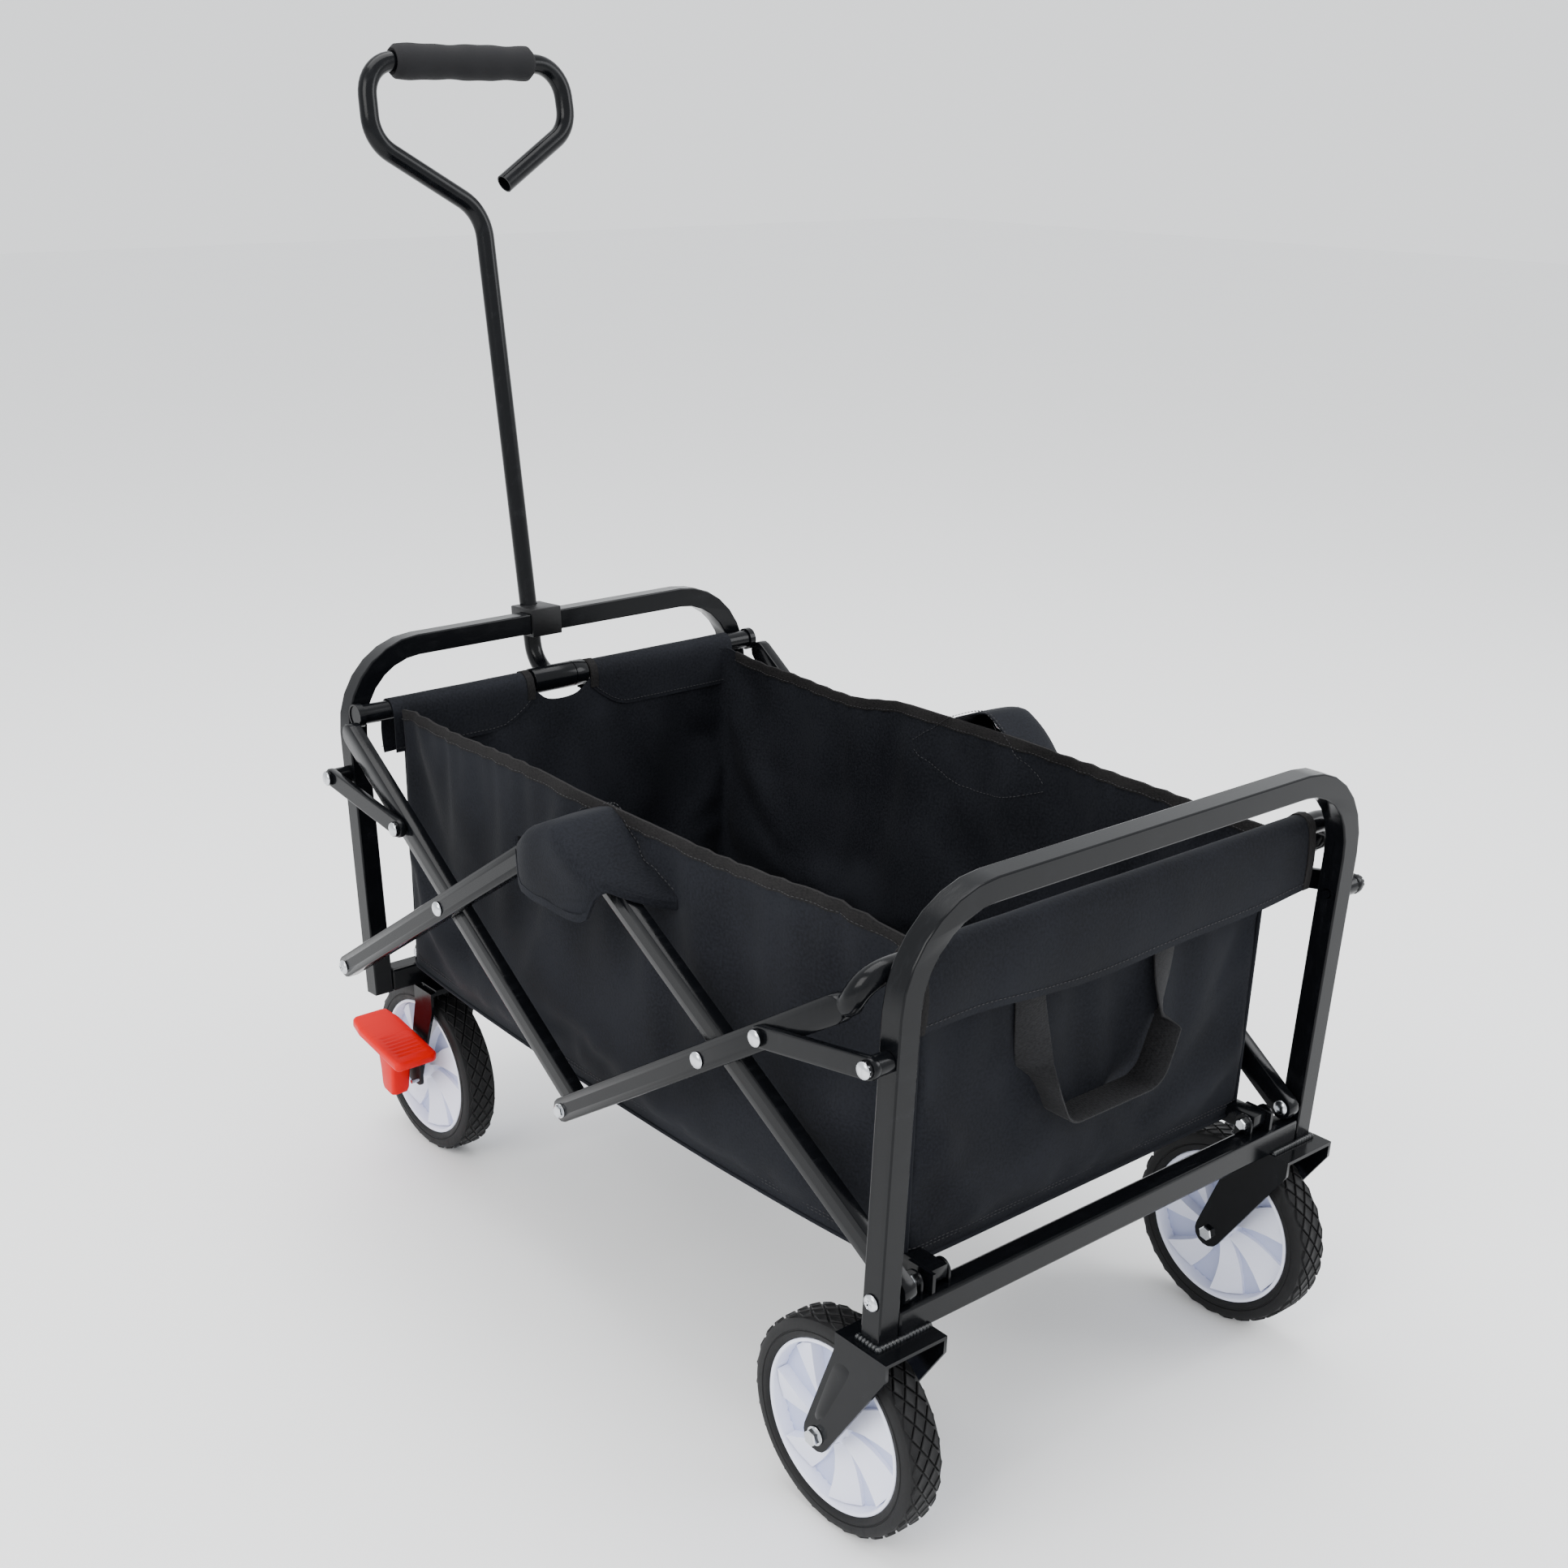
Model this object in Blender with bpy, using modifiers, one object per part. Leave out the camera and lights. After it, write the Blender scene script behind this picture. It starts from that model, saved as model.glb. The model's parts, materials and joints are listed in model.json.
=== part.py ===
"""Folding utility wagon with a pull handle.

Two bent-tube end frames are joined by a double scissor of flat-oval bars on each
side. The rear frame stands on two fixed wheels, the front frame on two swivel
casters with brake pedals. A fabric tub hangs inside the frame.

Units are metres. +Y points to the pull handle, +X to the right, +Z up. The origin
is on the ground, in the middle of the wagon's box.
"""

import math

import bmesh
import bpy
from mathutils import Matrix, Vector

# ---------------------------------------------------------------- driving dimensions
GAP = 0.0003                  # between pieces that touch
FIT = 0.0007                  # between a pin and its hole

SCISSOR_HALF = 0.2184         # half of a scissor bar, pivot to pivot
OPEN_ANGLE = math.radians(33.5)
FOLD_ANGLE = math.radians(38.5)   # how far the bars turn until the wagon is folded
PIVOT_HEIGHT = 0.225          # the lower scissor pivots above the ground

TUBE = 0.019                  # square frame tube
TUBE_ROUND = 0.0035
TOP_RISE = 0.0505             # middle of the top tubes, above the hem rails
FRAME_FOOT = 0.1900           # lower end of the legs
FRAME_BEND = 0.072            # bend radius, at the tube's middle
REAR_HALF_WIDTH = 0.240       # middle of the legs
REAR_LEAN = 0.0217            # outward, per unit of height
FRONT_LEAN = 0.070

BAR_WIDE = 0.021
BAR_THICK = 0.012
BAR_END = 0.0105              # pivot to the bar's end
LAYER_GAP = 0.0015            # washer between two bars
LINK_THICK = 0.006
LINK_WIDE = 0.017
LINK_POINT = 0.1275           # link pivot to the bar's upper end point

PIN_R = 0.0035
HEAD_R = 0.0068
HEAD_H = 0.0034
HEAD_GAP = 0.0005

RAIL_R = 0.009
RAIL_IN = 0.0216              # rail's middle, inside the leg line
RAIL_RISE = 0.0044            # hem rails, above the top scissor pivots
RAIL_SOCKET = 0.036           # rear high bar stops this far before its ideal end
RAIL_STRAIGHT = 0.004
RAIL_BEND = 0.026

CROSS_HIGH = 0.023
SHEET = 0.003                 # bracket sheet metal

WHEEL_R = 0.089
WHEEL_WIDE = 0.034
TYRE_DEEP = 0.0185
WHEEL_SIDES = 24
HUB_R = 0.0135
AXLE_R = 0.004
REAR_AXLE_IN = 0.0435         # axle, forward of the rear leg line
FORK_WIDE = 0.060
FORK_DEEP = 0.053
CASTER_X = 0.1635
CASTER_TRAIL = 0.0245
CASTER_BACK = 0.0180          # swivel axis, behind the front cross tube's middle
CASTER_FORK_WIDE = 0.050
STEM_R = 0.0042
SIDES = ((-1, "left"), (1, "right"))

HANDLE_X = -0.012
HANDLE_R = 0.0085
HANDLE_LEAN = math.radians(9.1)
HANDLE_RISE = 0.490           # top bar to grip, along the rod
GRIP_R = 0.0155
GRIP_HALF = 0.073

FLOOR_RAIL = 0.016            # square tube
FLOOR_RAIL_X = 0.185
FLOOR_RAIL_STEP = 0.020       # front rails run this much further in

FABRIC = 0.003
TUB_RISE = 0.0115             # the tub's sides, above the hem rails
PEDAL_LONG = 0.100
PEDAL_WIDE = 0.046
PEDAL_THICK = 0.011
PEDAL_RISE = 0.032            # plate, above the pedal's pin
PEDAL_TILT = math.radians(9)

# ---------------------------------------------------------------- worked out from them
HALF_LENGTH = 2 * SCISSOR_HALF * math.cos(OPEN_ANGLE)
SCISSOR_RISE = 2 * SCISSOR_HALF * math.sin(OPEN_ANGLE)
MID_HEIGHT = PIVOT_HEIGHT + SCISSOR_RISE / 2
RAIL_HEIGHT = PIVOT_HEIGHT + SCISSOR_RISE + RAIL_RISE
FRAME_TOP = RAIL_HEIGHT + TOP_RISE
TUB_TOP = RAIL_HEIGHT + TUB_RISE
INNER_PLANE = REAR_HALF_WIDTH - TUBE / 2 + 0.006 + BAR_THICK / 2
OUTER_PLANE = INNER_PLANE + BAR_THICK + LAYER_GAP
FRONT_HALF_WIDTH = INNER_PLANE - BAR_THICK / 2 - 0.0005 - TUBE / 2
REAR_BAR_FOOT = REAR_HALF_WIDTH - TUBE / 2 - BAR_THICK / 2 - 0.0035
REAR_LINK_PLANE = OUTER_PLANE + BAR_THICK / 2 + 0.0005 + LINK_THICK / 2
FRONT_LINK_PLANE = INNER_PLANE + BAR_THICK / 2 + LAYER_GAP + LINK_THICK / 2
REAR_WHEEL_X = REAR_HALF_WIDTH - 0.012
REAR_AXLE_Y = -HALF_LENGTH + REAR_AXLE_IN
FORK_TOP = FRAME_FOOT - GAP
SWIVEL_Y = HALF_LENGTH - CASTER_BACK
CASTER_Y = SWIVEL_Y + CASTER_TRAIL
BRAKE_Y = CASTER_Y
BRAKE_Z = WHEEL_R + 0.012
CROSS_MIDDLE = FRAME_FOOT + CROSS_HIGH / 2
FLOOR_PIVOT_HEIGHT = FRAME_FOOT + CROSS_HIGH + FLOOR_RAIL / 2 + 2 * GAP
FLOOR_PIVOT_Y = HALF_LENGTH - 0.006
SIDE_X = REAR_BAR_FOOT - BAR_THICK / 2 - 0.0015 - FABRIC / 2
FLOOR_TOP = FLOOR_PIVOT_HEIGHT + FLOOR_RAIL / 2 + 0.0005 + FABRIC


def leg_y(end, height):
    """Middle of a frame's tube at a height: end is -1 at the rear and 1 at the front."""
    lean = REAR_LEAN if end < 0 else FRONT_LEAN
    return end * (HALF_LENGTH + lean * (height - PIVOT_HEIGHT))


REAR_RAIL_Y = leg_y(-1, RAIL_HEIGHT) + RAIL_IN
FRONT_RAIL_Y = leg_y(1, RAIL_HEIGHT) - RAIL_IN
CLIP_Y = leg_y(1, FRAME_TOP) + TUBE / 2 + 0.0035 + HANDLE_R
GRIP_Y = CLIP_Y + HANDLE_RISE * math.sin(HANDLE_LEAN)
ORIGIN_Y = (GRIP_Y + GRIP_R + REAR_AXLE_Y - WHEEL_R) / 2


def link_points(end):
    """(bar pivot, leg pivot) of a side link: both its ends fit with the wagon open and folded."""
    lean = REAR_LEAN if end < 0 else FRONT_LEAN
    reach = 2 * SCISSOR_HALF - LINK_POINT
    folded = OPEN_ANGLE + FOLD_ANGLE
    u0, h0 = LINK_POINT * math.cos(OPEN_ANGLE), reach * math.sin(OPEN_ANGLE)
    u1, h1 = LINK_POINT * math.cos(folded), reach * math.sin(folded)
    rise = (u1 * u1 + h1 * h1 - u0 * u0 - h0 * h0) / (2 * (h1 - h0) + 2 * lean * (u0 - u1))
    bar = Vector((0, end * (HALF_LENGTH - u0), PIVOT_HEIGHT + h0))
    leg = Vector((0, leg_y(end, PIVOT_HEIGHT + rise), PIVOT_HEIGHT + rise))
    return bar, leg


# ---------------------------------------------------------------- scene
for old in list(bpy.data.objects):
    bpy.data.objects.remove(old, do_unlink=True)
PARTS = bpy.data.collections.new("folding_wagon")
CUTTERS = bpy.data.collections.new("cutters")
for group in (PARTS, CUTTERS):
    bpy.context.scene.collection.children.link(group)
TO_ORIGIN = Matrix.Translation((0, -ORIGIN_Y, 0))
BODIES = {}
FACE_CACHE = {}


def material(name, colour, roughness, metallic=0.0):
    made = bpy.data.materials.new(name)
    made.use_nodes = True
    shader = made.node_tree.nodes["Principled BSDF"]
    shader.inputs["Base Color"].default_value = (*colour, 1)
    shader.inputs["Roughness"].default_value = roughness
    shader.inputs["Metallic"].default_value = metallic
    return made


BLACK_PAINT = material("black_paint", (0.012, 0.013, 0.015), 0.32, 0.4)
ZINC = material("zinc_plate", (0.62, 0.63, 0.64), 0.30, 1.0)
RUBBER = material("tyre_rubber", (0.020, 0.020, 0.021), 0.75)
WHITE_PLASTIC = material("white_plastic", (0.78, 0.79, 0.86), 0.45)
RED_PLASTIC = material("red_plastic", (0.80, 0.015, 0.020), 0.38)
BLACK_PLASTIC = material("black_plastic", (0.015, 0.015, 0.017), 0.50)
FOAM = material("grip_foam", (0.020, 0.020, 0.022), 0.90)
FABRIC_BLACK = material("tub_fabric", (0.014, 0.015, 0.019), 0.85)


def body(name, pivot, parent=None):
    """An empty on a moving body's joint axis."""
    empty = bpy.data.objects.new("pivot_" + name, None)
    empty.empty_display_size = 0.02
    PARTS.objects.link(empty)
    empty.matrix_world = TO_ORIGIN @ Matrix.Translation(pivot)
    bpy.context.view_layer.update()
    if parent:
        empty.parent = BODIES[parent]
        empty.matrix_parent_inverse = BODIES[parent].matrix_world.inverted()
    BODIES[name] = empty
    return empty


def place(obj, place_at, finish, owner):
    """Give an object its material, its place in the wagon and its parent."""
    obj.data.materials.clear()
    obj.data.materials.append(finish)
    obj.matrix_basis = TO_ORIGIN @ place_at
    obj.parent = BODIES[owner]
    obj.matrix_parent_inverse = BODIES[owner].matrix_world.inverted()
    return obj


def link_mesh(name, mesh, into=PARTS):
    obj = bpy.data.objects.new(name, mesh)
    into.objects.link(obj)
    return obj


def curve_mesh(name, curve):
    """A closed mesh of a curve, with its caps welded."""
    holder = bpy.data.objects.new(name, curve)
    CUTTERS.objects.link(holder)
    mesh = bpy.data.meshes.new_from_object(holder.evaluated_get(bpy.context.evaluated_depsgraph_get()))
    shape = bmesh.new()
    shape.from_mesh(mesh)
    bmesh.ops.remove_doubles(shape, verts=shape.verts, dist=0.00002)
    bmesh.ops.recalc_face_normals(shape, faces=shape.faces)
    shape.to_mesh(mesh)
    shape.free()
    bpy.data.objects.remove(holder, do_unlink=True)
    mesh.name = name
    return mesh


def spline(curve, points, closed):
    made = curve.splines.new("POLY")
    made.points.add(len(points) - 1)
    for spot, point in zip(made.points, points):
        spot.co = (*point, 1) if len(point) == 3 else (*point, 0, 1)
    made.use_cyclic_u = closed


def arc(middle, radius, start, end, steps):
    """Points on an arc in a plane, angles in degrees."""
    angles = (math.radians(start + (end - start) * i / steps) for i in range(steps + 1))
    return [(middle[0] + radius * math.cos(t), middle[1] + radius * math.sin(t)) for t in angles]


def circle(middle, radius, sides=12):
    return arc(middle, radius, 0, 360 - 360 / sides, sides - 1)


def plate_mesh(name, outlines, thick, soften=0.0):
    """A flat outline with holes, extruded about its own plane; soften rounds the outer rims."""
    curve = bpy.data.curves.new(name, "CURVE")
    curve.dimensions = "2D"
    curve.fill_mode = "BOTH"
    curve.extrude = thick / 2
    for points in outlines:
        spline(curve, points, True)
    mesh = curve_mesh(name, curve)
    if soften:
        rim = {(round(x, 5), round(y, 5)) for x, y in outlines[0]}
        weights = mesh.attributes.new("bevel_weight_edge", "FLOAT", "EDGE")
        for edge in mesh.edges:
            ends = [mesh.vertices[v].co for v in edge.vertices]
            flat = abs(ends[0].z - ends[1].z) < 1e-6
            on_rim = all((round(e.x, 5), round(e.y, 5)) in rim for e in ends)
            walls = sum(edge_faces_up(mesh, edge))
            weights.data[edge.index].value = 1.0 if flat and on_rim and walls == 1 else 0.0
    return mesh


def edge_faces_up(mesh, edge):
    """Whether each face on an edge is one of the two flat sides."""
    if mesh.name not in FACE_CACHE:
        table = {}
        for face in mesh.polygons:
            for key in face.edge_keys:
                table.setdefault(key, []).append(abs(face.normal.z) > 0.9)
        FACE_CACHE[mesh.name] = table
    return FACE_CACHE[mesh.name][edge.key]


def soft_edges(obj, width, segments=2, weighted=False):
    rounding = obj.modifiers.new("rounding", "BEVEL")
    rounding.width = width
    rounding.segments = segments
    rounding.limit_method = "WEIGHT" if weighted else "ANGLE"
    rounding.angle_limit = math.radians(40)
    rounding.use_clamp_overlap = True
    return obj


def boolean(obj, tool, operation="DIFFERENCE"):
    cut = obj.modifiers.new(operation.lower(), "BOOLEAN")
    cut.operation = operation
    cut.solver = "EXACT"
    cut.object = tool
    return obj


def cutter(name, shapes):
    """One hidden object of several closed shapes: each is (kind, size, matrix)."""
    shape = bmesh.new()
    for kind, size, at in shapes:
        if kind == "box":
            bmesh.ops.create_cube(shape, size=1.0, matrix=TO_ORIGIN @ at @ Matrix.Diagonal((*size, 1)))
        else:
            radius, length, sides = size
            bmesh.ops.create_cone(
                shape, cap_ends=True, segments=sides, radius1=radius, radius2=radius,
                depth=length, matrix=TO_ORIGIN @ at)
    mesh = bpy.data.meshes.new(name)
    shape.to_mesh(mesh)
    shape.free()
    obj = link_mesh(name, mesh, CUTTERS)
    obj.hide_render = True
    obj.display_type = "WIRE"
    return obj


def along_x(point):
    """A placement whose own Z axis runs along +X."""
    return Matrix.Translation(point) @ Matrix.Rotation(math.pi / 2, 4, "Y")


def box_mesh(name, size):
    shape = bmesh.new()
    bmesh.ops.create_cube(shape, size=1.0, matrix=Matrix.Diagonal((*size, 1)))
    mesh = bpy.data.meshes.new(name)
    shape.to_mesh(mesh)
    shape.free()
    return mesh


def turned(name, profile, at, finish, owner, sides=12, phase=0.0):
    """A turned piece: profile is (radius, height) from its top to its bottom, down the outer side."""
    mesh = bpy.data.meshes.new(name)
    turn = Matrix.Rotation(phase, 3, "Z")
    ring = profile[0] == profile[-1]
    points = [turn @ Vector((radius, 0, height)) for radius, height in (profile[:-1] if ring else profile)]
    edges = [(i, i + 1) for i in range(len(points) - 1)]
    if ring:
        edges.append((len(points) - 1, 0))
    mesh.from_pydata(points, edges, [])
    obj = link_mesh(name, mesh)
    screw = obj.modifiers.new("turning", "SCREW")
    screw.axis = "Z"
    screw.steps = sides
    screw.render_steps = sides
    screw.use_merge_vertices = True
    screw.merge_threshold = 0.00002
    screw.use_smooth_shade = True
    return place(obj, at, finish, owner)


def tube(name, points, radius, finish, owner, resolution=2):
    curve = bpy.data.curves.new(name, "CURVE")
    curve.dimensions = "3D"
    curve.bevel_depth = radius
    curve.bevel_resolution = resolution
    curve.use_fill_caps = True
    spline(curve, points, False)
    return place(link_mesh(name, curve_mesh(name, curve)), Matrix.Identity(4), finish, owner)


# ---------------------------------------------------------------- frames
def frame_lean(end):
    lean = REAR_LEAN if end < 0 else FRONT_LEAN
    return -end * math.atan(lean)


def u_frame(name, end, half_width, owner, holes):
    """A square tube bent to an inverted U, standing on its legs."""
    stretch = 1 / math.cos(frame_lean(end))
    top = (FRAME_TOP - PIVOT_HEIGHT) * stretch
    foot = (FRAME_FOOT - PIVOT_HEIGHT) * stretch
    middle = half_width - FRAME_BEND
    outer, inner = FRAME_BEND + TUBE / 2, FRAME_BEND - TUBE / 2
    centre_y = top - FRAME_BEND
    points = [(half_width + TUBE / 2, foot)]
    points += arc((middle, centre_y), outer, 0, 90, 7)
    points += arc((-middle, centre_y), outer, 90, 180, 7)
    points += [(-half_width - TUBE / 2, foot), (-half_width + TUBE / 2, foot)]
    points += arc((-middle, centre_y), inner, 180, 90, 7)
    points += arc((middle, centre_y), inner, 90, 0, 7)
    points += [(half_width - TUBE / 2, foot)]
    obj = link_mesh(name, plate_mesh(name, [points], TUBE, TUBE_ROUND))
    upright = Matrix.Translation((0, end * HALF_LENGTH, PIVOT_HEIGHT))
    upright = upright @ Matrix.Rotation(frame_lean(end), 4, "X") @ Matrix.Rotation(math.pi / 2, 4, "X")
    place(obj, upright, BLACK_PAINT, owner)
    soft_edges(obj, TUBE_ROUND, 2, True)
    drills = [
        ("rod", (PIN_R + FIT, TUBE * 2, 12), along_x((side * half_width, y, z)))
        for side in (-1, 1) for y, z in holes]
    return boolean(obj, cutter(name + "_holes", drills))


def cross_tube(name, end, half_width, owner):
    """The tube between a frame's feet, with the ears that hold the floor rails."""
    length = 2 * (half_width - TUBE / 2 - GAP)
    y = leg_y(end, CROSS_MIDDLE)
    obj = link_mesh(name, box_mesh(name, (length, TUBE, CROSS_HIGH)))
    place(obj, Matrix.Translation((0, y, CROSS_MIDDLE)), BLACK_PAINT, owner)
    soft_edges(obj, 0.0025)
    ear_x = floor_rail_x(end) + FLOOR_RAIL / 2 + GAP + SHEET / 2
    ear_low = CROSS_MIDDLE + CROSS_HIGH / 2 - 0.002
    ear_high = FLOOR_PIVOT_HEIGHT + FLOOR_RAIL / 2
    ear_y = y - end * 0.006
    adds = [
        ("box", (SHEET, 0.026, ear_high - ear_low),
         Matrix.Translation((side * ear_x, ear_y, (ear_low + ear_high) / 2))) for side in (-1, 1)]
    if end > 0:
        plate_high = SHEET + 0.001
        adds += [
            ("box", (0.042, 0.044, plate_high),
             Matrix.Translation((side * CASTER_X, SWIVEL_Y + 0.003, mount_under() + plate_high / 2)))
            for side in (-1, 1)]
    boolean(obj, cutter(name + "_ears", adds), "UNION")
    drills = [
        ("rod", (PIN_R + FIT, 0.012, 12), along_x((side * ear_x, end * FLOOR_PIVOT_Y, FLOOR_PIVOT_HEIGHT)))
        for side in (-1, 1)]
    if end > 0:
        drills += [
            ("rod", (STEM_R + FIT, 0.012, 16),
             Matrix.Translation((side * CASTER_X, SWIVEL_Y, mount_under())))
            for side in (-1, 1)]
    return boolean(obj, cutter(name + "_holes", drills))


def mount_under():
    """Lower face of the caster plates, welded under the front cross tube."""
    return CROSS_MIDDLE - CROSS_HIGH / 2 - SHEET


def floor_rail_x(end):
    return FLOOR_RAIL_X if end < 0 else FLOOR_RAIL_X - FLOOR_RAIL_STEP


def bent_sheet(name, side_outline, width, thick, top_from, top_to):
    """An inverted channel: two side plates of one outline, folded down from a top plate."""
    shape = bmesh.new()
    rows = []
    for x in (-width / 2, width / 2):
        rows.append([shape.verts.new((x, y, z)) for y, z in side_outline])
    shape.faces.new(list(reversed(rows[0])))
    shape.faces.new(rows[1])
    shape.faces.new((rows[0][top_from], rows[1][top_from], rows[1][top_to], rows[0][top_to]))
    bmesh.ops.recalc_face_normals(shape, faces=shape.faces)
    if sum(face.normal.x * face.calc_center_median().x for face in shape.faces) < 0:
        bmesh.ops.reverse_faces(shape, faces=shape.faces)
    mesh = bpy.data.meshes.new(name)
    shape.to_mesh(mesh)
    shape.free()
    obj = link_mesh(name, mesh)
    wall = obj.modifiers.new("wall", "SOLIDIFY")
    wall.thickness = thick
    wall.offset = -1
    wall.use_even_offset = True
    return obj


def fork_outline(rear_top, front_top, top, drop, axle_y, axle_z, end_r):
    """Side of a fork in (y, z): straight at the top, tapering to a round end about the axle."""
    def tangent(from_y, from_z, turn):
        gap_y, gap_z = from_y - axle_y, from_z - axle_z
        reach = math.hypot(gap_y, gap_z)
        angle = math.atan2(gap_z, gap_y) + turn * math.acos(end_r / reach)
        return math.degrees(angle)
    rear_angle = tangent(rear_top, top - drop, 1)
    front_angle = tangent(front_top, top - drop, -1) + 360
    round_end = arc((axle_y, axle_z), end_r, rear_angle, front_angle, 7)
    points = [(rear_top, top), (rear_top, top - drop)] + round_end
    return points + [(front_top, top - drop), (front_top, top)]


def rear_fork(name, side):
    """The channel welded under a rear leg, which holds a wheel."""
    leg = leg_y(-1, FRAME_FOOT)
    half_deep = FORK_DEEP / 2
    points = fork_outline(leg - half_deep, leg + half_deep, FORK_TOP, 0.014, REAR_AXLE_Y, WHEEL_R, 0.0135)
    obj = bent_sheet(name, points, FORK_WIDE, SHEET, 0, len(points) - 1)
    place(obj, Matrix.Translation((side * REAR_WHEEL_X, 0, 0)), BLACK_PAINT, "rear_frame")
    drill = cutter(name + "_hole", [
        ("rod", (AXLE_R + FIT, FORK_WIDE * 1.3, 12), along_x((side * REAR_WHEEL_X, REAR_AXLE_Y, WHEEL_R)))])
    return boolean(obj, drill)


# ---------------------------------------------------------------- wheels
def wheel(prefix, x, y, tyre_owner):
    """Tyre and rim, turned about X. A flat of the tyre stands on the ground."""
    flat = 1 / math.cos(math.pi / WHEEL_SIDES)
    phase = math.pi / WHEEL_SIDES
    at = along_x((x, y, WHEEL_R))
    half = WHEEL_WIDE / 2
    seat = WHEEL_R - TYRE_DEEP
    tread, shoulder, wall = WHEEL_R * flat, (WHEEL_R - 0.0035) * flat, (WHEEL_R - 0.012) * flat
    tyre = [
        (seat * flat, half - 0.002), (wall, half), (shoulder, half - 0.0012), (tread, half - 0.006),
        (tread, -half + 0.006), (shoulder, -half + 0.0012), (wall, -half), (seat * flat, -half + 0.002),
        (seat * flat, half - 0.002)]
    turned(prefix + "_tyre", tyre, at, RUBBER, tyre_owner, WHEEL_SIDES, phase)
    out = (seat - GAP) * flat
    inner_lip = (seat - 0.0045) * flat
    hub_half = FORK_WIDE / 2 - SHEET - 0.0008 if "rear" in prefix else CASTER_FORK_WIDE / 2 - SHEET - 0.0008
    bore = AXLE_R + FIT / 2
    rim = [
        (bore, hub_half), (HUB_R, hub_half), (HUB_R, 0.010), (inner_lip, 0.010), (inner_lip, half - 0.004),
        (out, half - 0.004), (out, -half + 0.004), (inner_lip, -half + 0.004), (inner_lip, -0.010),
        (HUB_R, -0.010), (HUB_R, -hub_half), (bore, -hub_half), (bore, hub_half)]
    turned(prefix + "_rim", rim, at, WHITE_PLASTIC, tyre_owner, WHEEL_SIDES, phase)


def headed_pin(name, x_in, x_out, y, z, radius, head_r, head_h, owner, side, finish=ZINC):
    """A rivet along X from x_in to x_out (both positive, before the side is applied), a head at each end."""
    low, high = x_in - HEAD_GAP, x_out + HEAD_GAP
    profile = [
        (0, high + head_h), (head_r * 0.7, high + head_h * 0.8), (head_r, high), (radius, high),
        (radius, low),
        (head_r * 0.85, low), (head_r * 0.85, low - head_h * 0.55), (0, low - head_h * 0.55)]
    at = Matrix.Translation((0, y, z)) @ Matrix.Rotation(side * math.pi / 2, 4, "Y")
    return turned(name, profile, at, finish, owner, 10)


# ---------------------------------------------------------------- scissor bars
def bar_placement(start, end, side):
    """Own X along the bar, own Z across it, outwards."""
    along = (end - start).normalized()
    outward = Vector((side, 0, 0))
    outward = (outward - along * outward.dot(along)).normalized()
    up = outward.cross(along)
    turn = Matrix((along, up, outward)).transposed().to_4x4()
    return Matrix.Translation(start) @ turn


def flat_bar(name, start, end, side, holes, owner, wide, thick, soften, ends=(BAR_END, BAR_END)):
    """A bar with round ends; holes are distances from start, ends how far it runs past both points."""
    length = (end - start).length
    r = wide / 2
    points = arc((length + ends[1] - r, 0), r, -90, 90, 6) + arc((-ends[0] + r, 0), r, 90, 270, 6)
    outlines = [points] + [circle((spot, 0), PIN_R + FIT) for spot in holes]
    obj = link_mesh(name, plate_mesh(name, outlines, thick, soften))
    place(obj, bar_placement(start, end, side), BLACK_PAINT, owner)
    return soft_edges(obj, soften, 2, True)


def scissor(side, tag):
    """The four bars of one side: two cross at the rear, two at the front."""
    full = 2 * SCISSOR_HALF
    foot, top = PIVOT_HEIGHT, PIVOT_HEIGHT + SCISSOR_RISE
    soften = BAR_THICK * 0.36
    mid_top = Vector((side * INNER_PLANE, 0, top))
    rear_foot = Vector((side * REAR_BAR_FOOT, -HALF_LENGTH, foot))
    flat_bar("rear_low_bar_" + tag, rear_foot, mid_top, side,
             (0, (mid_top - rear_foot).length / 2, (mid_top - rear_foot).length),
             "rear_low_bars", BAR_WIDE, BAR_THICK, soften)
    mid_low = Vector((side * OUTER_PLANE, 0, foot))
    rear_top = Vector((side * OUTER_PLANE, -HALF_LENGTH, top))
    flat_bar("rear_high_bar_" + tag, mid_low, rear_top, side, (0, SCISSOR_HALF),
             "rear_high_bars", BAR_WIDE, BAR_THICK, soften, (BAR_END, -RAIL_SOCKET))
    mid_top = Vector((side * OUTER_PLANE, 0, top))
    front_foot = Vector((side * OUTER_PLANE, HALF_LENGTH, foot))
    flat_bar("front_low_bar_" + tag, front_foot, mid_top, side, (0, SCISSOR_HALF, full),
             "front_low_bars", BAR_WIDE, BAR_THICK, soften)
    mid_low = Vector((side * INNER_PLANE, 0, foot))
    front_top = Vector((side * INNER_PLANE, HALF_LENGTH, top))
    flat_bar("front_high_bar_" + tag, mid_low, front_top, side, (0, SCISSOR_HALF),
             "front_high_bars", BAR_WIDE, BAR_THICK, soften, (BAR_END, -0.006))


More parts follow.
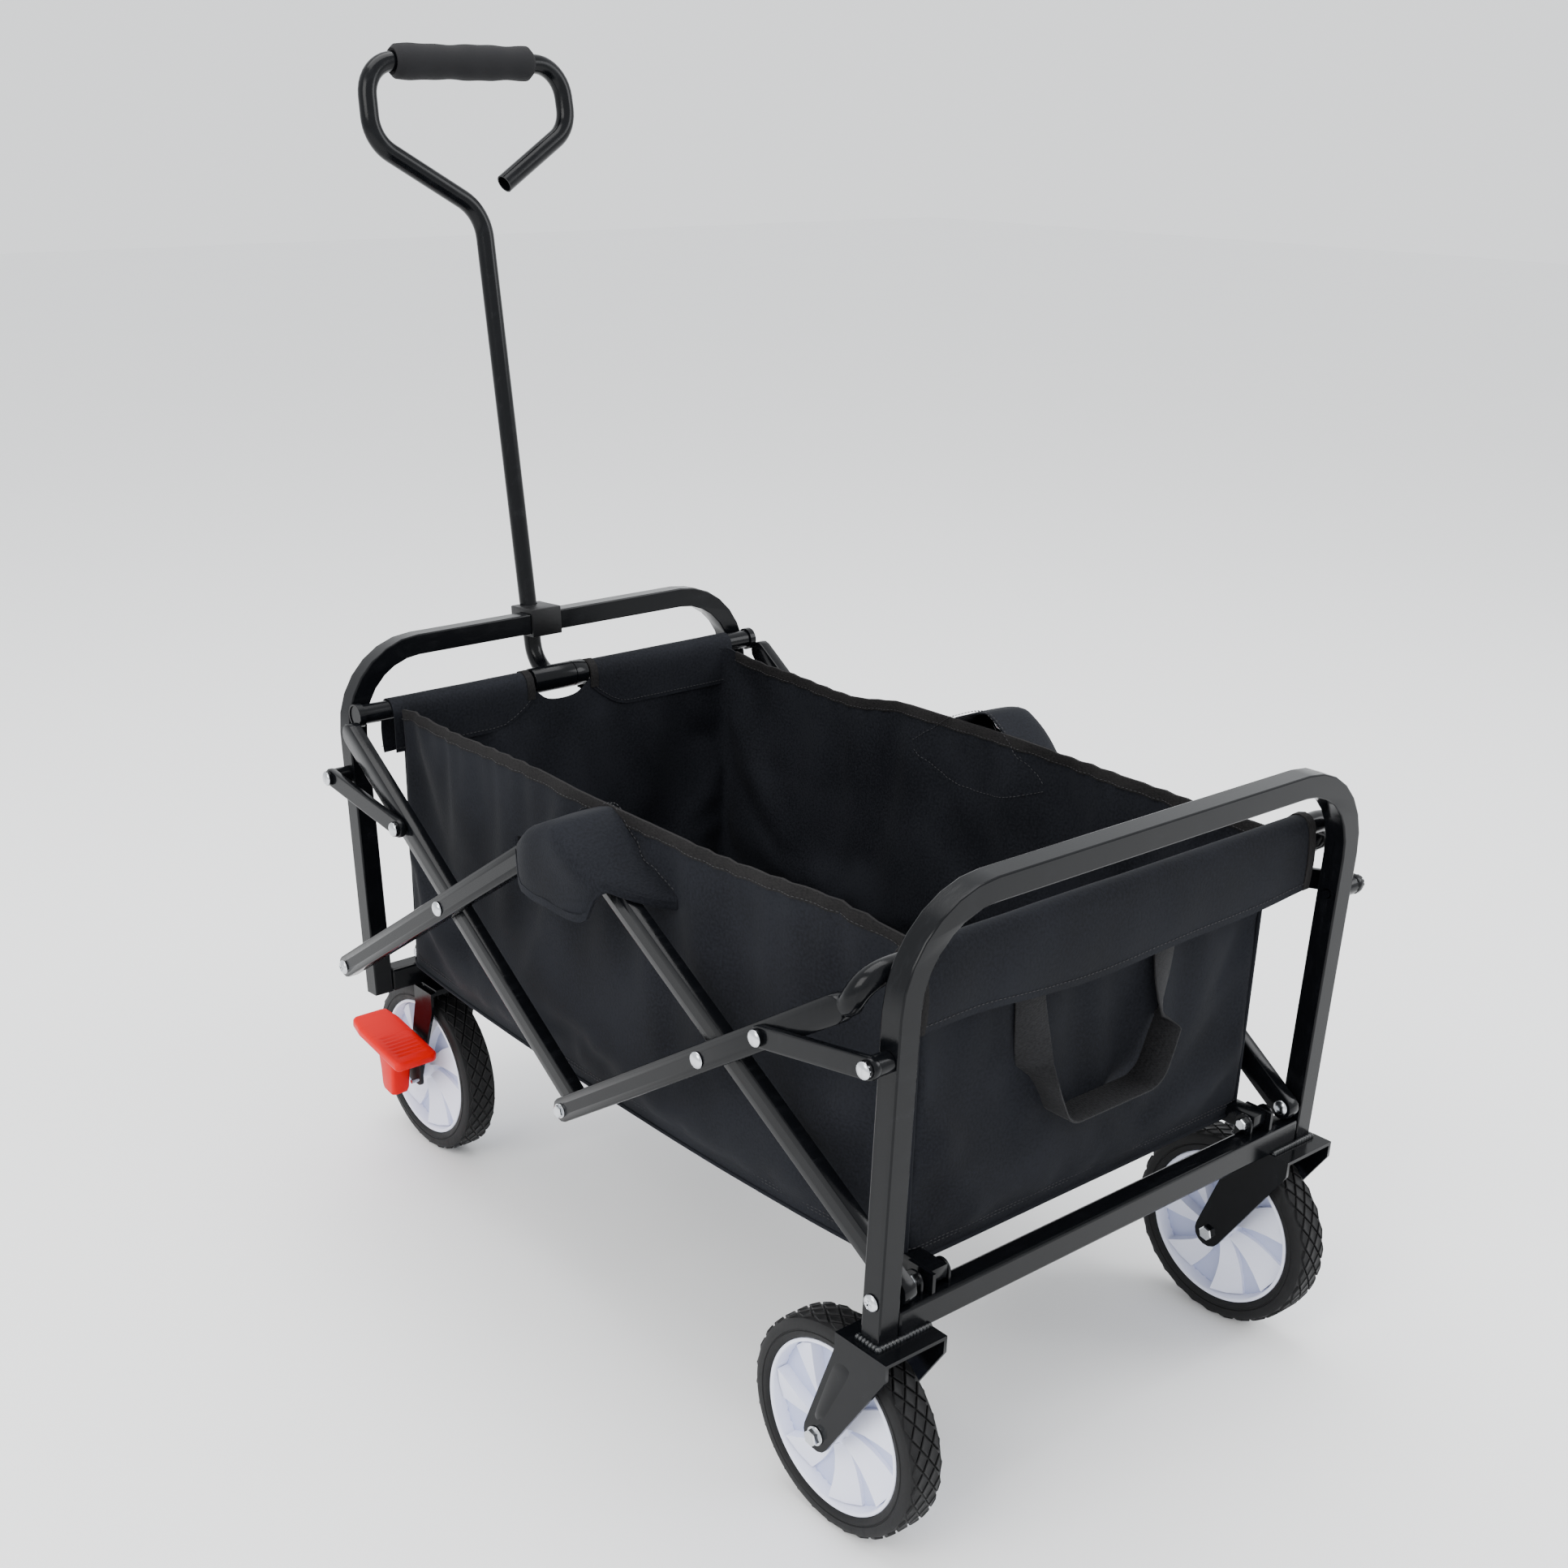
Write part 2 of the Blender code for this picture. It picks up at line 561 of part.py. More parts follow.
def scissor_pins(side, tag):
    half = BAR_THICK / 2
    top = PIVOT_HEIGHT + SCISSOR_RISE
    rear_bar_mid = (REAR_BAR_FOOT + INNER_PLANE) / 2
    rows = (
        ("rear_cross_pin_", rear_bar_mid - half - 0.0004, OUTER_PLANE + half, -HALF_LENGTH / 2, MID_HEIGHT,
         "rear_high_bars"),
        ("front_cross_pin_", INNER_PLANE - half, OUTER_PLANE + half, HALF_LENGTH / 2, MID_HEIGHT,
         "front_high_bars"),
        ("top_middle_pin_", INNER_PLANE - half - 0.0004, OUTER_PLANE + half, 0, top, "front_low_bars"),
        ("low_middle_bolt_", INNER_PLANE - half, OUTER_PLANE + half, 0, PIVOT_HEIGHT, "rear_high_bars"),
        ("rear_foot_pin_", REAR_BAR_FOOT - half - 0.0004, REAR_HALF_WIDTH + TUBE / 2, -HALF_LENGTH,
         PIVOT_HEIGHT, "rear_frame"),
        ("front_foot_pin_", FRONT_HALF_WIDTH - TUBE / 2, OUTER_PLANE + half, HALF_LENGTH, PIVOT_HEIGHT,
         "front_frame"))
    for name, x_in, x_out, y, z, owner in rows:
        headed_pin(name + tag, x_in, x_out, y, z, PIN_R, HEAD_R, HEAD_H, owner, side)


def side_link(name, end, side, owner):
    """A short link from a leg to a bar, with its rivets and its spacer at the leg."""
    plane = REAR_LINK_PLANE if end < 0 else FRONT_LINK_PLANE
    leg_half = REAR_HALF_WIDTH if end < 0 else FRONT_HALF_WIDTH
    bar_point, leg_point = link_points(end)
    start = Vector((side * plane, leg_point.y, leg_point.z))
    stop = Vector((side * plane, bar_point.y, bar_point.z))
    length = (stop - start).length
    r = LINK_WIDE / 2
    points = arc((length, 0), r, -90, 90, 6) + arc((0, 0), r, 90, 270, 6)
    obj = link_mesh(name, plate_mesh(name, [points], LINK_THICK, 0.0022))
    place(obj, bar_placement(start, stop, side), BLACK_PAINT, owner)
    soft_edges(obj, 0.0022, 2, True)
    outer = plane + LINK_THICK / 2
    leg_out = leg_half + TUBE / 2
    leg_in = leg_half - TUBE / 2 - 0.002
    head = HEAD_H + 0.0005
    spacer = outer - leg_out - HEAD_GAP - 0.001
    rods = [
        ("rod", (HEAD_R * 1.15, spacer, 14),
         along_x((side * (leg_out + HEAD_GAP + spacer / 2), start.y, start.z))),
        ("rod", (PIN_R, outer - leg_in, 12), along_x((side * (outer + leg_in) / 2, start.y, start.z))),
        ("rod", (HEAD_R, head, 12), along_x((side * (outer + head / 2 - 0.0005), start.y, start.z))),
        ("rod", (HEAD_R, head, 12), along_x((side * (outer + head / 2 - 0.0005), stop.y, stop.z)))]
    for i, rod in enumerate(rods):
        boolean(obj, cutter(name + "_stud_" + str(i), [rod]), "UNION")
    return obj


# ---------------------------------------------------------------- rails
def rear_rail():
    """The rear hem rail: a round tube whose bent ends are plugged into the rear high bars."""
    ideal_top = Vector((OUTER_PLANE, -HALF_LENGTH, PIVOT_HEIGHT + SCISSOR_RISE))
    along = Vector((0, -math.cos(OPEN_ANGLE), math.sin(OPEN_ANGLE)))
    first = ideal_top - along * (RAIL_SOCKET - GAP)
    leaving = first + along * RAIL_STRAIGHT
    corner = Vector((OUTER_PLANE, REAR_RAIL_Y, RAIL_HEIGHT))
    inside = corner - Vector((RAIL_BEND, 0, 0))
    half = [first]
    for i in range(7):
        t = i / 6
        half.append((1 - t) ** 2 * leaving + 2 * t * (1 - t) * corner + t * t * inside)
    whole = [tuple(p) for p in half] + [(-p.x, p.y, p.z) for p in reversed(half)]
    return tube("rear_top_rail", whole, RAIL_R, BLACK_PAINT, "rear_high_bars")


def front_rail():
    """The front hem rail, held between the front legs; the pull handle turns on it."""
    reach = FRONT_HALF_WIDTH + TUBE / 2 - 0.002
    points = [(-reach, FRONT_RAIL_Y, RAIL_HEIGHT), (reach, FRONT_RAIL_Y, RAIL_HEIGHT)]
    return tube("front_top_rail", points, RAIL_R, BLACK_PAINT, "front_frame", 3)


def floor_rail(name, end, side, owner):
    """A square tube under the tub's floor, hinged to an ear of a cross tube."""
    half = FLOOR_RAIL / 2
    reach = FLOOR_PIVOT_Y + 0.010
    outline = [(-half, half), (reach, half), (reach, -half)] + arc((0, 0), half, 270, 180, 4)
    obj = link_mesh(name, plate_mesh(name, [list(reversed(outline))], FLOOR_RAIL, 0.0018))
    hinge_point = Vector((side * floor_rail_x(end), end * FLOOR_PIVOT_Y, FLOOR_PIVOT_HEIGHT))
    turn = Matrix(((0, 0, -end), (-end, 0, 0), (0, 1, 0))).to_4x4()
    place(obj, Matrix.Translation(hinge_point) @ turn, BLACK_PAINT, owner)
    soft_edges(obj, 0.0018, 2, True)
    outer = floor_rail_x(end) + FLOOR_RAIL / 2
    pin_reach = SHEET + 0.006
    pin = cutter(name + "_pin", [
        ("rod", (PIN_R, pin_reach, 12),
         along_x((side * (outer + pin_reach / 2 - 0.002), end * FLOOR_PIVOT_Y, FLOOR_PIVOT_HEIGHT)))])
    return boolean(obj, pin, "UNION")


# ---------------------------------------------------------------- casters
def fork_top():
    return mount_under() - GAP * 2


def caster_fork(name, side, owner):
    """A caster's fork with its swivel stem."""
    top = fork_top()
    points = fork_outline(SWIVEL_Y - 0.015, SWIVEL_Y + 0.017, top, 0.020, CASTER_Y, WHEEL_R, 0.011)
    obj = bent_sheet(name, points, CASTER_FORK_WIDE, SHEET, 0, len(points) - 1)
    place(obj, Matrix.Translation((side * CASTER_X, 0, 0)), BLACK_PAINT, owner)
    hole = cutter(name + "_hole", [
        ("rod", (AXLE_R + FIT, CASTER_FORK_WIDE * 1.3, 12), along_x((side * CASTER_X, CASTER_Y, WHEEL_R)))])
    boolean(obj, hole)
    plate_top = mount_under() + SHEET + 0.001
    stem_low, stem_high = top - SHEET / 2, plate_top + 0.0012
    stem = cutter(name + "_stem", [
        ("rod", (STEM_R, stem_high - stem_low, 16),
         Matrix.Translation((side * CASTER_X, SWIVEL_Y, (stem_low + stem_high) / 2)))])
    boolean(obj, stem, "UNION")
    nut_low, nut_high = plate_top + HEAD_GAP, plate_top + HEAD_GAP + 0.005
    nut = cutter(name + "_nut", [
        ("rod", (0.0062, nut_high - nut_low, 6),
         Matrix.Translation((side * CASTER_X, SWIVEL_Y, (nut_low + nut_high) / 2)))])
    return boolean(obj, nut, "UNION")


def brake_pedal(name, side, owner):
    """A foot pedal beside the caster: a wide plate on an arm that turns about the pedal's pin."""
    x = CASTER_X + CASTER_FORK_WIDE / 2 + 0.003 + PEDAL_WIDE / 2
    y, z = BRAKE_Y, BRAKE_Z
    plate = link_mesh(name, box_mesh(name, (PEDAL_WIDE, PEDAL_LONG, PEDAL_THICK)))
    tilt = Matrix.Rotation(PEDAL_TILT, 4, "X")
    at = Matrix.Translation((side * x, y, z)) @ tilt @ Matrix.Translation((0, 0, PEDAL_RISE))
    place(plate, at, RED_PLASTIC, owner)
    soft_edges(plate, 0.0045)
    arm_long = PEDAL_RISE + 0.026
    hung = Matrix.Translation((0, 0.004, PEDAL_RISE - arm_long / 2))
    arm = cutter(name + "_arm", [
        ("box", (0.022, 0.026, arm_long),
         Matrix.Translation((side * (x - 0.006), y, z)) @ tilt @ hung)])
    return boolean(plate, arm, "UNION")


# ---------------------------------------------------------------- pull handle
def handle_point(x, along):
    """A point of the handle's loop: along is measured up the rod from the frame's top tube."""
    out, up = along * math.sin(HANDLE_LEAN), along * math.cos(HANDLE_LEAN)
    return (HANDLE_X + x, CLIP_Y + out, FRAME_TOP + 0.013 + up)


def rounded_path(corners, radii, steps):
    """A path through corner points with a round bend at each inner one."""
    points = [Vector(corners[0])]
    for before, corner, after, radius in zip(corners, corners[1:], corners[2:], radii):
        before, corner, after = Vector(before), Vector(corner), Vector(after)
        a, b = (before - corner).normalized(), (after - corner).normalized()
        half = a.angle(b) / 2
        back = radius / math.tan(half)
        middle = corner + (a + b).normalized() * radius / math.sin(half)
        start, stop = corner + a * back - middle, corner + b * back - middle
        sweep = start.angle(stop)
        for i in range(steps + 1):
            t = i / steps
            mix = math.sin((1 - t) * sweep) * start + math.sin(t * sweep) * stop
            points.append(middle + mix / math.sin(sweep))
    points.append(Vector(corners[-1]))
    return [tuple(p) for p in points]


def handle():
    """One bent tube: a foot on the front rail, a straight rod, and an open loop with a foam grip."""
    rise = HANDLE_RISE
    foot = (HANDLE_X, FRONT_RAIL_Y, RAIL_HEIGHT)
    low = handle_point(0, -0.066)
    corners = [
        foot, low, handle_point(0, rise - 0.128), handle_point(-0.106, rise - 0.066),
        handle_point(-0.104, rise), handle_point(0.104, rise), handle_point(0.106, rise - 0.056),
        handle_point(0.028, rise - 0.104)]
    radii = [0.030, 0.040, 0.034, 0.030, 0.030, 0.030]
    points = rounded_path(corners, radii, 5)
    obj = tube("handle_tube", points, HANDLE_R, BLACK_PAINT, "handle")
    sleeve_wide = 0.062
    boolean(obj, cutter("handle_sleeve_add", [
        ("rod", (RAIL_R + 0.0035, sleeve_wide, 16),
         along_x((HANDLE_X, FRONT_RAIL_Y, RAIL_HEIGHT)))]), "UNION")
    boolean(obj, cutter("handle_sleeve_bore", [
        ("rod", (RAIL_R + 0.0008, sleeve_wide + 0.01, 16), along_x((HANDLE_X, FRONT_RAIL_Y, RAIL_HEIGHT)))]))
    grip = [
        (HANDLE_R + GAP, GRIP_HALF), (GRIP_R - 0.003, GRIP_HALF), (GRIP_R, GRIP_HALF - 0.003),
        (GRIP_R, -GRIP_HALF + 0.003), (GRIP_R - 0.003, -GRIP_HALF), (HANDLE_R + GAP, -GRIP_HALF),
        (HANDLE_R + GAP, GRIP_HALF)]
    turned("handle_grip", grip, along_x(handle_point(-0.003, rise)), FOAM, "handle", 16)


def handle_clip():
    """A snap collar on the front top tube that holds the upright handle."""
    y, z = leg_y(1, FRAME_TOP), FRAME_TOP
    deep = CLIP_Y - y + HANDLE_R * 0.55 + TUBE / 2 + 0.002
    high, wide = TUBE + 0.008, 0.034
    lean = Matrix.Rotation(frame_lean(1), 4, "X")
    obj = link_mesh("handle_clip", box_mesh("handle_clip", (wide, deep, high)))
    middle_y = y - TUBE / 2 - 0.002 + deep / 2
    place(obj, Matrix.Translation((HANDLE_X, middle_y, z)) @ lean, BLACK_PLASTIC, "front_frame")
    soft_edges(obj, 0.0012)
    slot = TUBE + 2 * GAP
    boolean(obj, cutter("clip_tube_slot", [
        ("box", (wide * 1.4, slot, slot), Matrix.Translation((HANDLE_X, y, z)) @ lean)]))
    rod_turn = Matrix.Rotation(-HANDLE_LEAN, 4, "X")
    rod_at = Vector(handle_point(0, -0.013 / math.cos(HANDLE_LEAN)))
    boolean(obj, cutter("clip_rod_slot", [
        ("rod", (HANDLE_R + 0.0006, high * 2, 16), Matrix.Translation(rod_at) @ rod_turn)]))
    return boolean(obj, cutter("clip_mouth", [
        ("box", (1.7 * HANDLE_R, HANDLE_R * 2, high * 2),
         Matrix.Translation(rod_at) @ rod_turn @ Matrix.Translation((0, HANDLE_R, 0)))]))


# ---------------------------------------------------------------- fabric tub
def slab(name, size, middle, finish=None, turn=None):
    obj = link_mesh(name, box_mesh(name, size))
    at = Matrix.Translation(middle) @ (turn or Matrix.Identity(4))
    return place(obj, at, finish or FABRIC_BLACK, "rear_frame")


def tub():
    """Plain solids of the fabric tub: two sides, two ends and a floor."""
    wall_low = FLOOR_TOP - FABRIC
    rear_y = REAR_RAIL_Y + RAIL_R - FABRIC / 2
    front_y = FRONT_RAIL_Y - RAIL_R + FABRIC / 2
    clear = FABRIC / 2 + GAP
    side_low = FLOOR_PIVOT_HEIGHT - FLOOR_RAIL / 2 + 0.004
    length = front_y - rear_y
    side_length = length - FABRIC - 2 * GAP
    for side, tag in SIDES:
        slab("tub_side_" + tag, (FABRIC, side_length, TUB_TOP - side_low),
             (side * SIDE_X, (rear_y + front_y) / 2, (TUB_TOP + side_low) / 2))
    wide = 2 * (SIDE_X - clear)
    under_rail = RAIL_HEIGHT - RAIL_R - GAP - 0.0035
    for name, y in (("tub_end_rear", rear_y), ("tub_end_front", front_y)):
        slab(name, (wide, FABRIC, under_rail - wall_low), (0, y, (under_rail + wall_low) / 2))
    slab("tub_floor", (wide, side_length, FABRIC), (0, (rear_y + front_y) / 2, FLOOR_TOP - FABRIC / 2))


# ---------------------------------------------------------------- assembly
rear_top_pivot = (0, -HALF_LENGTH / 2, MID_HEIGHT)
body("rear_frame", (0, -HALF_LENGTH, PIVOT_HEIGHT))
body("rear_low_bars", (0, -HALF_LENGTH, PIVOT_HEIGHT), "rear_frame")
body("rear_high_bars", rear_top_pivot, "rear_low_bars")
body("front_low_bars", (0, 0, PIVOT_HEIGHT + SCISSOR_RISE), "rear_low_bars")
body("front_high_bars", (0, HALF_LENGTH / 2, MID_HEIGHT), "front_low_bars")
body("front_frame", (0, HALF_LENGTH, PIVOT_HEIGHT), "front_low_bars")
body("rear_links", link_points(-1)[1], "rear_frame")
body("front_links", link_points(1)[1], "front_frame")
body("rear_floor_rails", (0, -FLOOR_PIVOT_Y, FLOOR_PIVOT_HEIGHT), "rear_frame")
body("front_floor_rails", (0, FLOOR_PIVOT_Y, FLOOR_PIVOT_HEIGHT), "front_frame")
body("handle", (0, FRONT_RAIL_Y, RAIL_HEIGHT), "front_frame")
for side, tag in SIDES:
    body("rear_wheel_" + tag, (side * REAR_WHEEL_X, REAR_AXLE_Y, WHEEL_R), "rear_frame")
    body("caster_" + tag, (side * CASTER_X, SWIVEL_Y, mount_under()), "front_frame")
    body("caster_wheel_" + tag, (side * CASTER_X, CASTER_Y, WHEEL_R), "caster_" + tag)
    body("brake_" + tag, (side * CASTER_X, BRAKE_Y, BRAKE_Z), "caster_" + tag)

rear_link_leg, front_link_leg = link_points(-1)[1], link_points(1)[1]
u_frame("rear_u_frame", -1, REAR_HALF_WIDTH, "rear_frame",
        ((-HALF_LENGTH, PIVOT_HEIGHT), (rear_link_leg.y, rear_link_leg.z)))
u_frame("front_u_frame", 1, FRONT_HALF_WIDTH, "front_frame",
        ((HALF_LENGTH, PIVOT_HEIGHT), (front_link_leg.y, front_link_leg.z)))
cross_tube("rear_cross_tube", -1, REAR_HALF_WIDTH, "rear_frame")
cross_tube("front_cross_tube", 1, FRONT_HALF_WIDTH, "front_frame")
rear_rail()
front_rail()
for side, tag in SIDES:
    rear_fork("rear_fork_" + tag, side)
    wheel("rear_" + tag, side * REAR_WHEEL_X, REAR_AXLE_Y, "rear_wheel_" + tag)
    axle_half = FORK_WIDE / 2
    headed_pin("rear_axle_" + tag, REAR_WHEEL_X - axle_half, REAR_WHEEL_X + axle_half, REAR_AXLE_Y, WHEEL_R,
               AXLE_R, 0.0075, 0.006, "rear_frame", side)
    caster_fork("caster_fork_" + tag, side, "caster_" + tag)
    wheel("front_" + tag, side * CASTER_X, CASTER_Y, "caster_wheel_" + tag)
    axle_half = CASTER_FORK_WIDE / 2
    headed_pin("front_axle_" + tag, CASTER_X - axle_half, CASTER_X + axle_half, CASTER_Y, WHEEL_R,
               AXLE_R, 0.0065, 0.0016, "caster_" + tag, side)
    brake_pedal("brake_pedal_" + tag, side, "brake_" + tag)
    scissor(side, tag)
    scissor_pins(side, tag)
    side_link("rear_link_" + tag, -1, side, "rear_links")
    side_link("front_link_" + tag, 1, side, "front_links")
    floor_rail("rear_floor_rail_" + tag, -1, side, "rear_floor_rails")
    floor_rail("front_floor_rail_" + tag, 1, side, "front_floor_rails")
handle()
handle_clip()
tub()

for obj in PARTS.objects:
    if obj.type == "MESH":
        obj.data.shade_smooth()
        obj.data.set_sharp_from_angle(angle=math.radians(35))
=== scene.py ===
# %% [markdown]
# Folding wagon with a pull handle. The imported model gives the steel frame, the
# joints and the plain solids. This script keeps the frame's places and makes
# the looks: painted steel, zinc rivets, treaded tyres, moulded spokes, a sewn
# fabric tub, webbing and foam. Sizes are in metres, with +Y towards the handle.

# %% Load the frame
import json
import math

import bmesh
import bpy
from mathutils import Matrix, Quaternion, Vector, noise


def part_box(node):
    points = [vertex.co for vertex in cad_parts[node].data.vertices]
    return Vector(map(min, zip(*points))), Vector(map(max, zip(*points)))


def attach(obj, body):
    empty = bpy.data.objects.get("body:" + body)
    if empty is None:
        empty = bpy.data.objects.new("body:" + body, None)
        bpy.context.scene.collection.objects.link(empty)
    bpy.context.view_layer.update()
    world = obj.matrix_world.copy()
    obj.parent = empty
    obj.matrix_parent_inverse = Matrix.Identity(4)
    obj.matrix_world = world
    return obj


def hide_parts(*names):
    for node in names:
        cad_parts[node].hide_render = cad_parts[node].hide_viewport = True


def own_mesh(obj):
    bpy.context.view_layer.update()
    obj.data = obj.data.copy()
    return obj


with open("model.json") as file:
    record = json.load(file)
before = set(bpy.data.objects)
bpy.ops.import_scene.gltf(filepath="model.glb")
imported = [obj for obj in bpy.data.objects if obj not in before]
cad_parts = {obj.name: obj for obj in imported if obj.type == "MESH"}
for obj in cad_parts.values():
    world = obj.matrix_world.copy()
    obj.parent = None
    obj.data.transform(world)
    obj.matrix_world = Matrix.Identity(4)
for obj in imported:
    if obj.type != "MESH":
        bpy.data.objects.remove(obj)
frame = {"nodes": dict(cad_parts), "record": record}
NODES = frame["nodes"]
NODE_BODY = {node: body for body, held in frame["record"]["behaviour"]["bodies"].items() for node in held}
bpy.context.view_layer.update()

# %% [markdown]
# The places could be typed in as numbers. Here they are measured from the
# solids, so the looks stay on the frame if the frame is made again. A box's
# middle gives a tube's axis, and its half size gives the tube's radius.

# %% Places on the frame
def middle(node):
    """The middle of a solid's box."""
    low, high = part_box(node)
    return (low + high) / 2


def half_size(node):
    """Half the size of a solid's box."""
    low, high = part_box(node)
    return (high - low) / 2


MIDDLE_Y = middle("top_middle_pin_left").y
TOP_PIVOT_Z = middle("top_middle_pin_left").z
RAIL_R = half_size("front_top_rail").y
FRONT_RAIL = middle("front_top_rail")
REAR_RAIL = Vector((0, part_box("rear_top_rail")[0].y + RAIL_R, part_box("rear_top_rail")[1].z - RAIL_R))
FLOOR_LOW, FLOOR_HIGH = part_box("tub_floor")[0].z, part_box("tub_floor")[1].z
HALF_TUBE = 0.0095
OUTER_PLANE = middle("rear_high_bar_right").x
WHEEL_R = 0.089
SIDES = ((-1, "left"), (1, "right"))
print("rails at y", round(REAR_RAIL.y, 4), round(FRONT_RAIL.y, 4), "height", round(FRONT_RAIL.z, 4))

# %% [markdown]
# The wagon is seen from behind its left rear wheel, from above the tub. A lens
# of about 45 mm with a little shift keeps the whole handle in view. The camera
# comes first, because it decides what detail is worth making.

# %% Camera
CAMERA_AT = Vector((-1.0515, MIDDLE_Y - 1.1814, 0.9954))
YAW, PITCH, ROLL = math.radians(39.086), math.radians(-23.974), math.radians(-0.625)


def new_object(name, data):
    """A new object in the scene for a mesh, a light or a camera."""
    obj = bpy.data.objects.new(name, data)
    bpy.context.scene.collection.objects.link(obj)
    return obj


lens = bpy.data.cameras.new("camera")
camera = new_object("camera", lens)
bpy.context.scene.camera = camera
ahead = Vector((math.sin(YAW) * math.cos(PITCH), math.cos(YAW) * math.cos(PITCH), math.sin(PITCH)))
camera.rotation_mode = "QUATERNION"
camera.rotation_quaternion = Quaternion(ahead, ROLL) @ ahead.to_track_quat("-Z", "Y")
camera.location = CAMERA_AT
lens.lens, lens.sensor_width = 44.6, 36.0
lens.shift_x, lens.shift_y = 0.0398, 0.1098
lens.clip_start, lens.clip_end = 0.05, 60.0
print("camera", round(CAMERA_AT.length, 3), "m from the origin")

# %% [markdown]
# Materials could be wired by hand, one link at a time. Short helpers keep each
# one to a few lines: one adds a node, one does sums, one makes noise, and one
# starts an empty material. The last one makes an object from plain points.

# %% Node helpers
def put(tree, kind, inputs=None, **settings):
    """Adds a node. An input given as a socket is linked, and any other value is set."""
    made = tree.nodes.new(kind)
    for label, value in settings.items():
        setattr(made, label, value)
    for label, value in (inputs or {}).items():
        if isinstance(value, bpy.types.NodeSocket):
            tree.links.new(value, made.inputs[label])
        else:
            made.inputs[label].default_value = value
    return made


def calc(tree, operation, *values, **settings):
    """The result of a Math node."""
    return put(tree, "ShaderNodeMath", dict(enumerate(values)), operation=operation, **settings).outputs[0]


def clouds(tree, point, scale, detail=2.0, distortion=0.0):
    """Noise from 0 to 1, with scale features per metre."""
    return put(tree, "ShaderNodeTexNoise", {
        "Vector": point, "Scale": scale, "Detail": detail, "Distortion": distortion}).outputs["Fac"]


def material(name):
    """An empty material: its tree, its Principled shader and its object coordinates."""
    made = bpy.data.materials.new(name)
    made.use_nodes = True
    tree = made.node_tree
    tree.nodes.clear()
    shader = put(tree, "ShaderNodeBsdfPrincipled")
    put(tree, "ShaderNodeOutputMaterial", {"Surface": shader.outputs[0]})
    return made, tree, shader, put(tree, "ShaderNodeTexCoord")


def plain_mesh(name, points, faces, edges=()):
    """An object from points and faces."""
    mesh = bpy.data.meshes.new(name)
    mesh.from_pydata([tuple(p) for p in points], edges, faces)
    return new_object(name, mesh)


print("node helpers ready")

# %% [markdown]
# Black paint and black cloth show their shape only by what they reflect. A
# large soft light on each side and one above give long highlights on the
# tubes, and a pale floor throws light back up under the tub.

# %% Floor, lights and surroundings
FLOOR_HALF, FLOOR_DEPTH = 12.0, -0.0004
QUARTERS = ((-1, -1), (1, -1), (1, 1), (-1, 1))
floor = plain_mesh("studio_floor", [(x * FLOOR_HALF, y * FLOOR_HALF, FLOOR_DEPTH) for x, y in QUARTERS],
                   [(0, 1, 2, 3)])
floor_paint, tree, shader, spots = material("studio_floor")
tone = put(tree, "ShaderNodeMapRange", {
    "Value": clouds(tree, spots.outputs["Object"], 1.5), "To Min": 0.94, "To Max": 0.96})
tree.links.new(tone.outputs[0], shader.inputs["Base Color"])
shader.inputs["Roughness"].default_value = 0.75
floor.data.materials.append(floor_paint)

world = bpy.data.worlds.new("studio")
bpy.context.scene.world = world
world.use_nodes = True
sky = world.node_tree.nodes["Background"].inputs
sky[0].default_value, sky[1].default_value = (0.96, 0.98, 1.0, 1), 1.45


def soft_light(name, at, towards, size, power, tint):
    """A square area light at one place, turned to face another."""
    light = bpy.data.lights.new(name, "AREA")
    light.shape, light.size, light.energy, light.color = "SQUARE", size, power, tint
    lamp = new_object(name, light)
    lamp.location = at
    lamp.rotation_euler = (Vector(towards) - Vector(at)).to_track_quat("-Z", "Y").to_euler()


soft_light("light_left", (-2.6, -0.6, 2.2), (0, 0, 0.3), 1.8, 70, (1.0, 0.99, 0.97))
soft_light("light_right", (2.4, -1.8, 2.0), (0, -0.2, 0.3), 1.6, 50, (0.97, 0.98, 1.0))
soft_light("light_top", (0.0, 0.4, 3.2), (0, 0, 0), 2.2, 80, (1.0, 1.0, 1.0))
print("floor and three soft lights")

# %% [markdown]
# Several finishes share an effect: fine grain in paint and plastic, faint
# scuffs, and the weave of cloth and webbing. Each effect is a node group with
# its own inputs, made once. A group gives only values and a height, and the
# shader stays in the material.

# %% Shared shader groups
def shader_group(name, numbers, outputs):
    """An empty group: a point and the named numbers go in, and values come out."""
    tree = bpy.data.node_groups.new(name, "ShaderNodeTree")
    tree.interface.new_socket("Point", in_out="INPUT", socket_type="NodeSocketVector")
    for label, value in numbers.items():
        socket = tree.interface.new_socket(label, in_out="INPUT", socket_type="NodeSocketFloat")
        socket.default_value = value
    for label in outputs:
        tree.interface.new_socket(label, in_out="OUTPUT", socket_type="NodeSocketFloat")
    return tree, tree.nodes.new("NodeGroupInput").outputs, tree.nodes.new("NodeGroupOutput").inputs


grain, given, gives = shader_group("fine_grain", {"Grains per metre": 700.0}, ["Height", "Cloud"])
grain.links.new(clouds(grain, given["Point"], given["Grains per metre"], 3.0), gives["Height"])
grain.links.new(clouds(grain, given["Point"], 23.0, 4.0), gives["Cloud"])

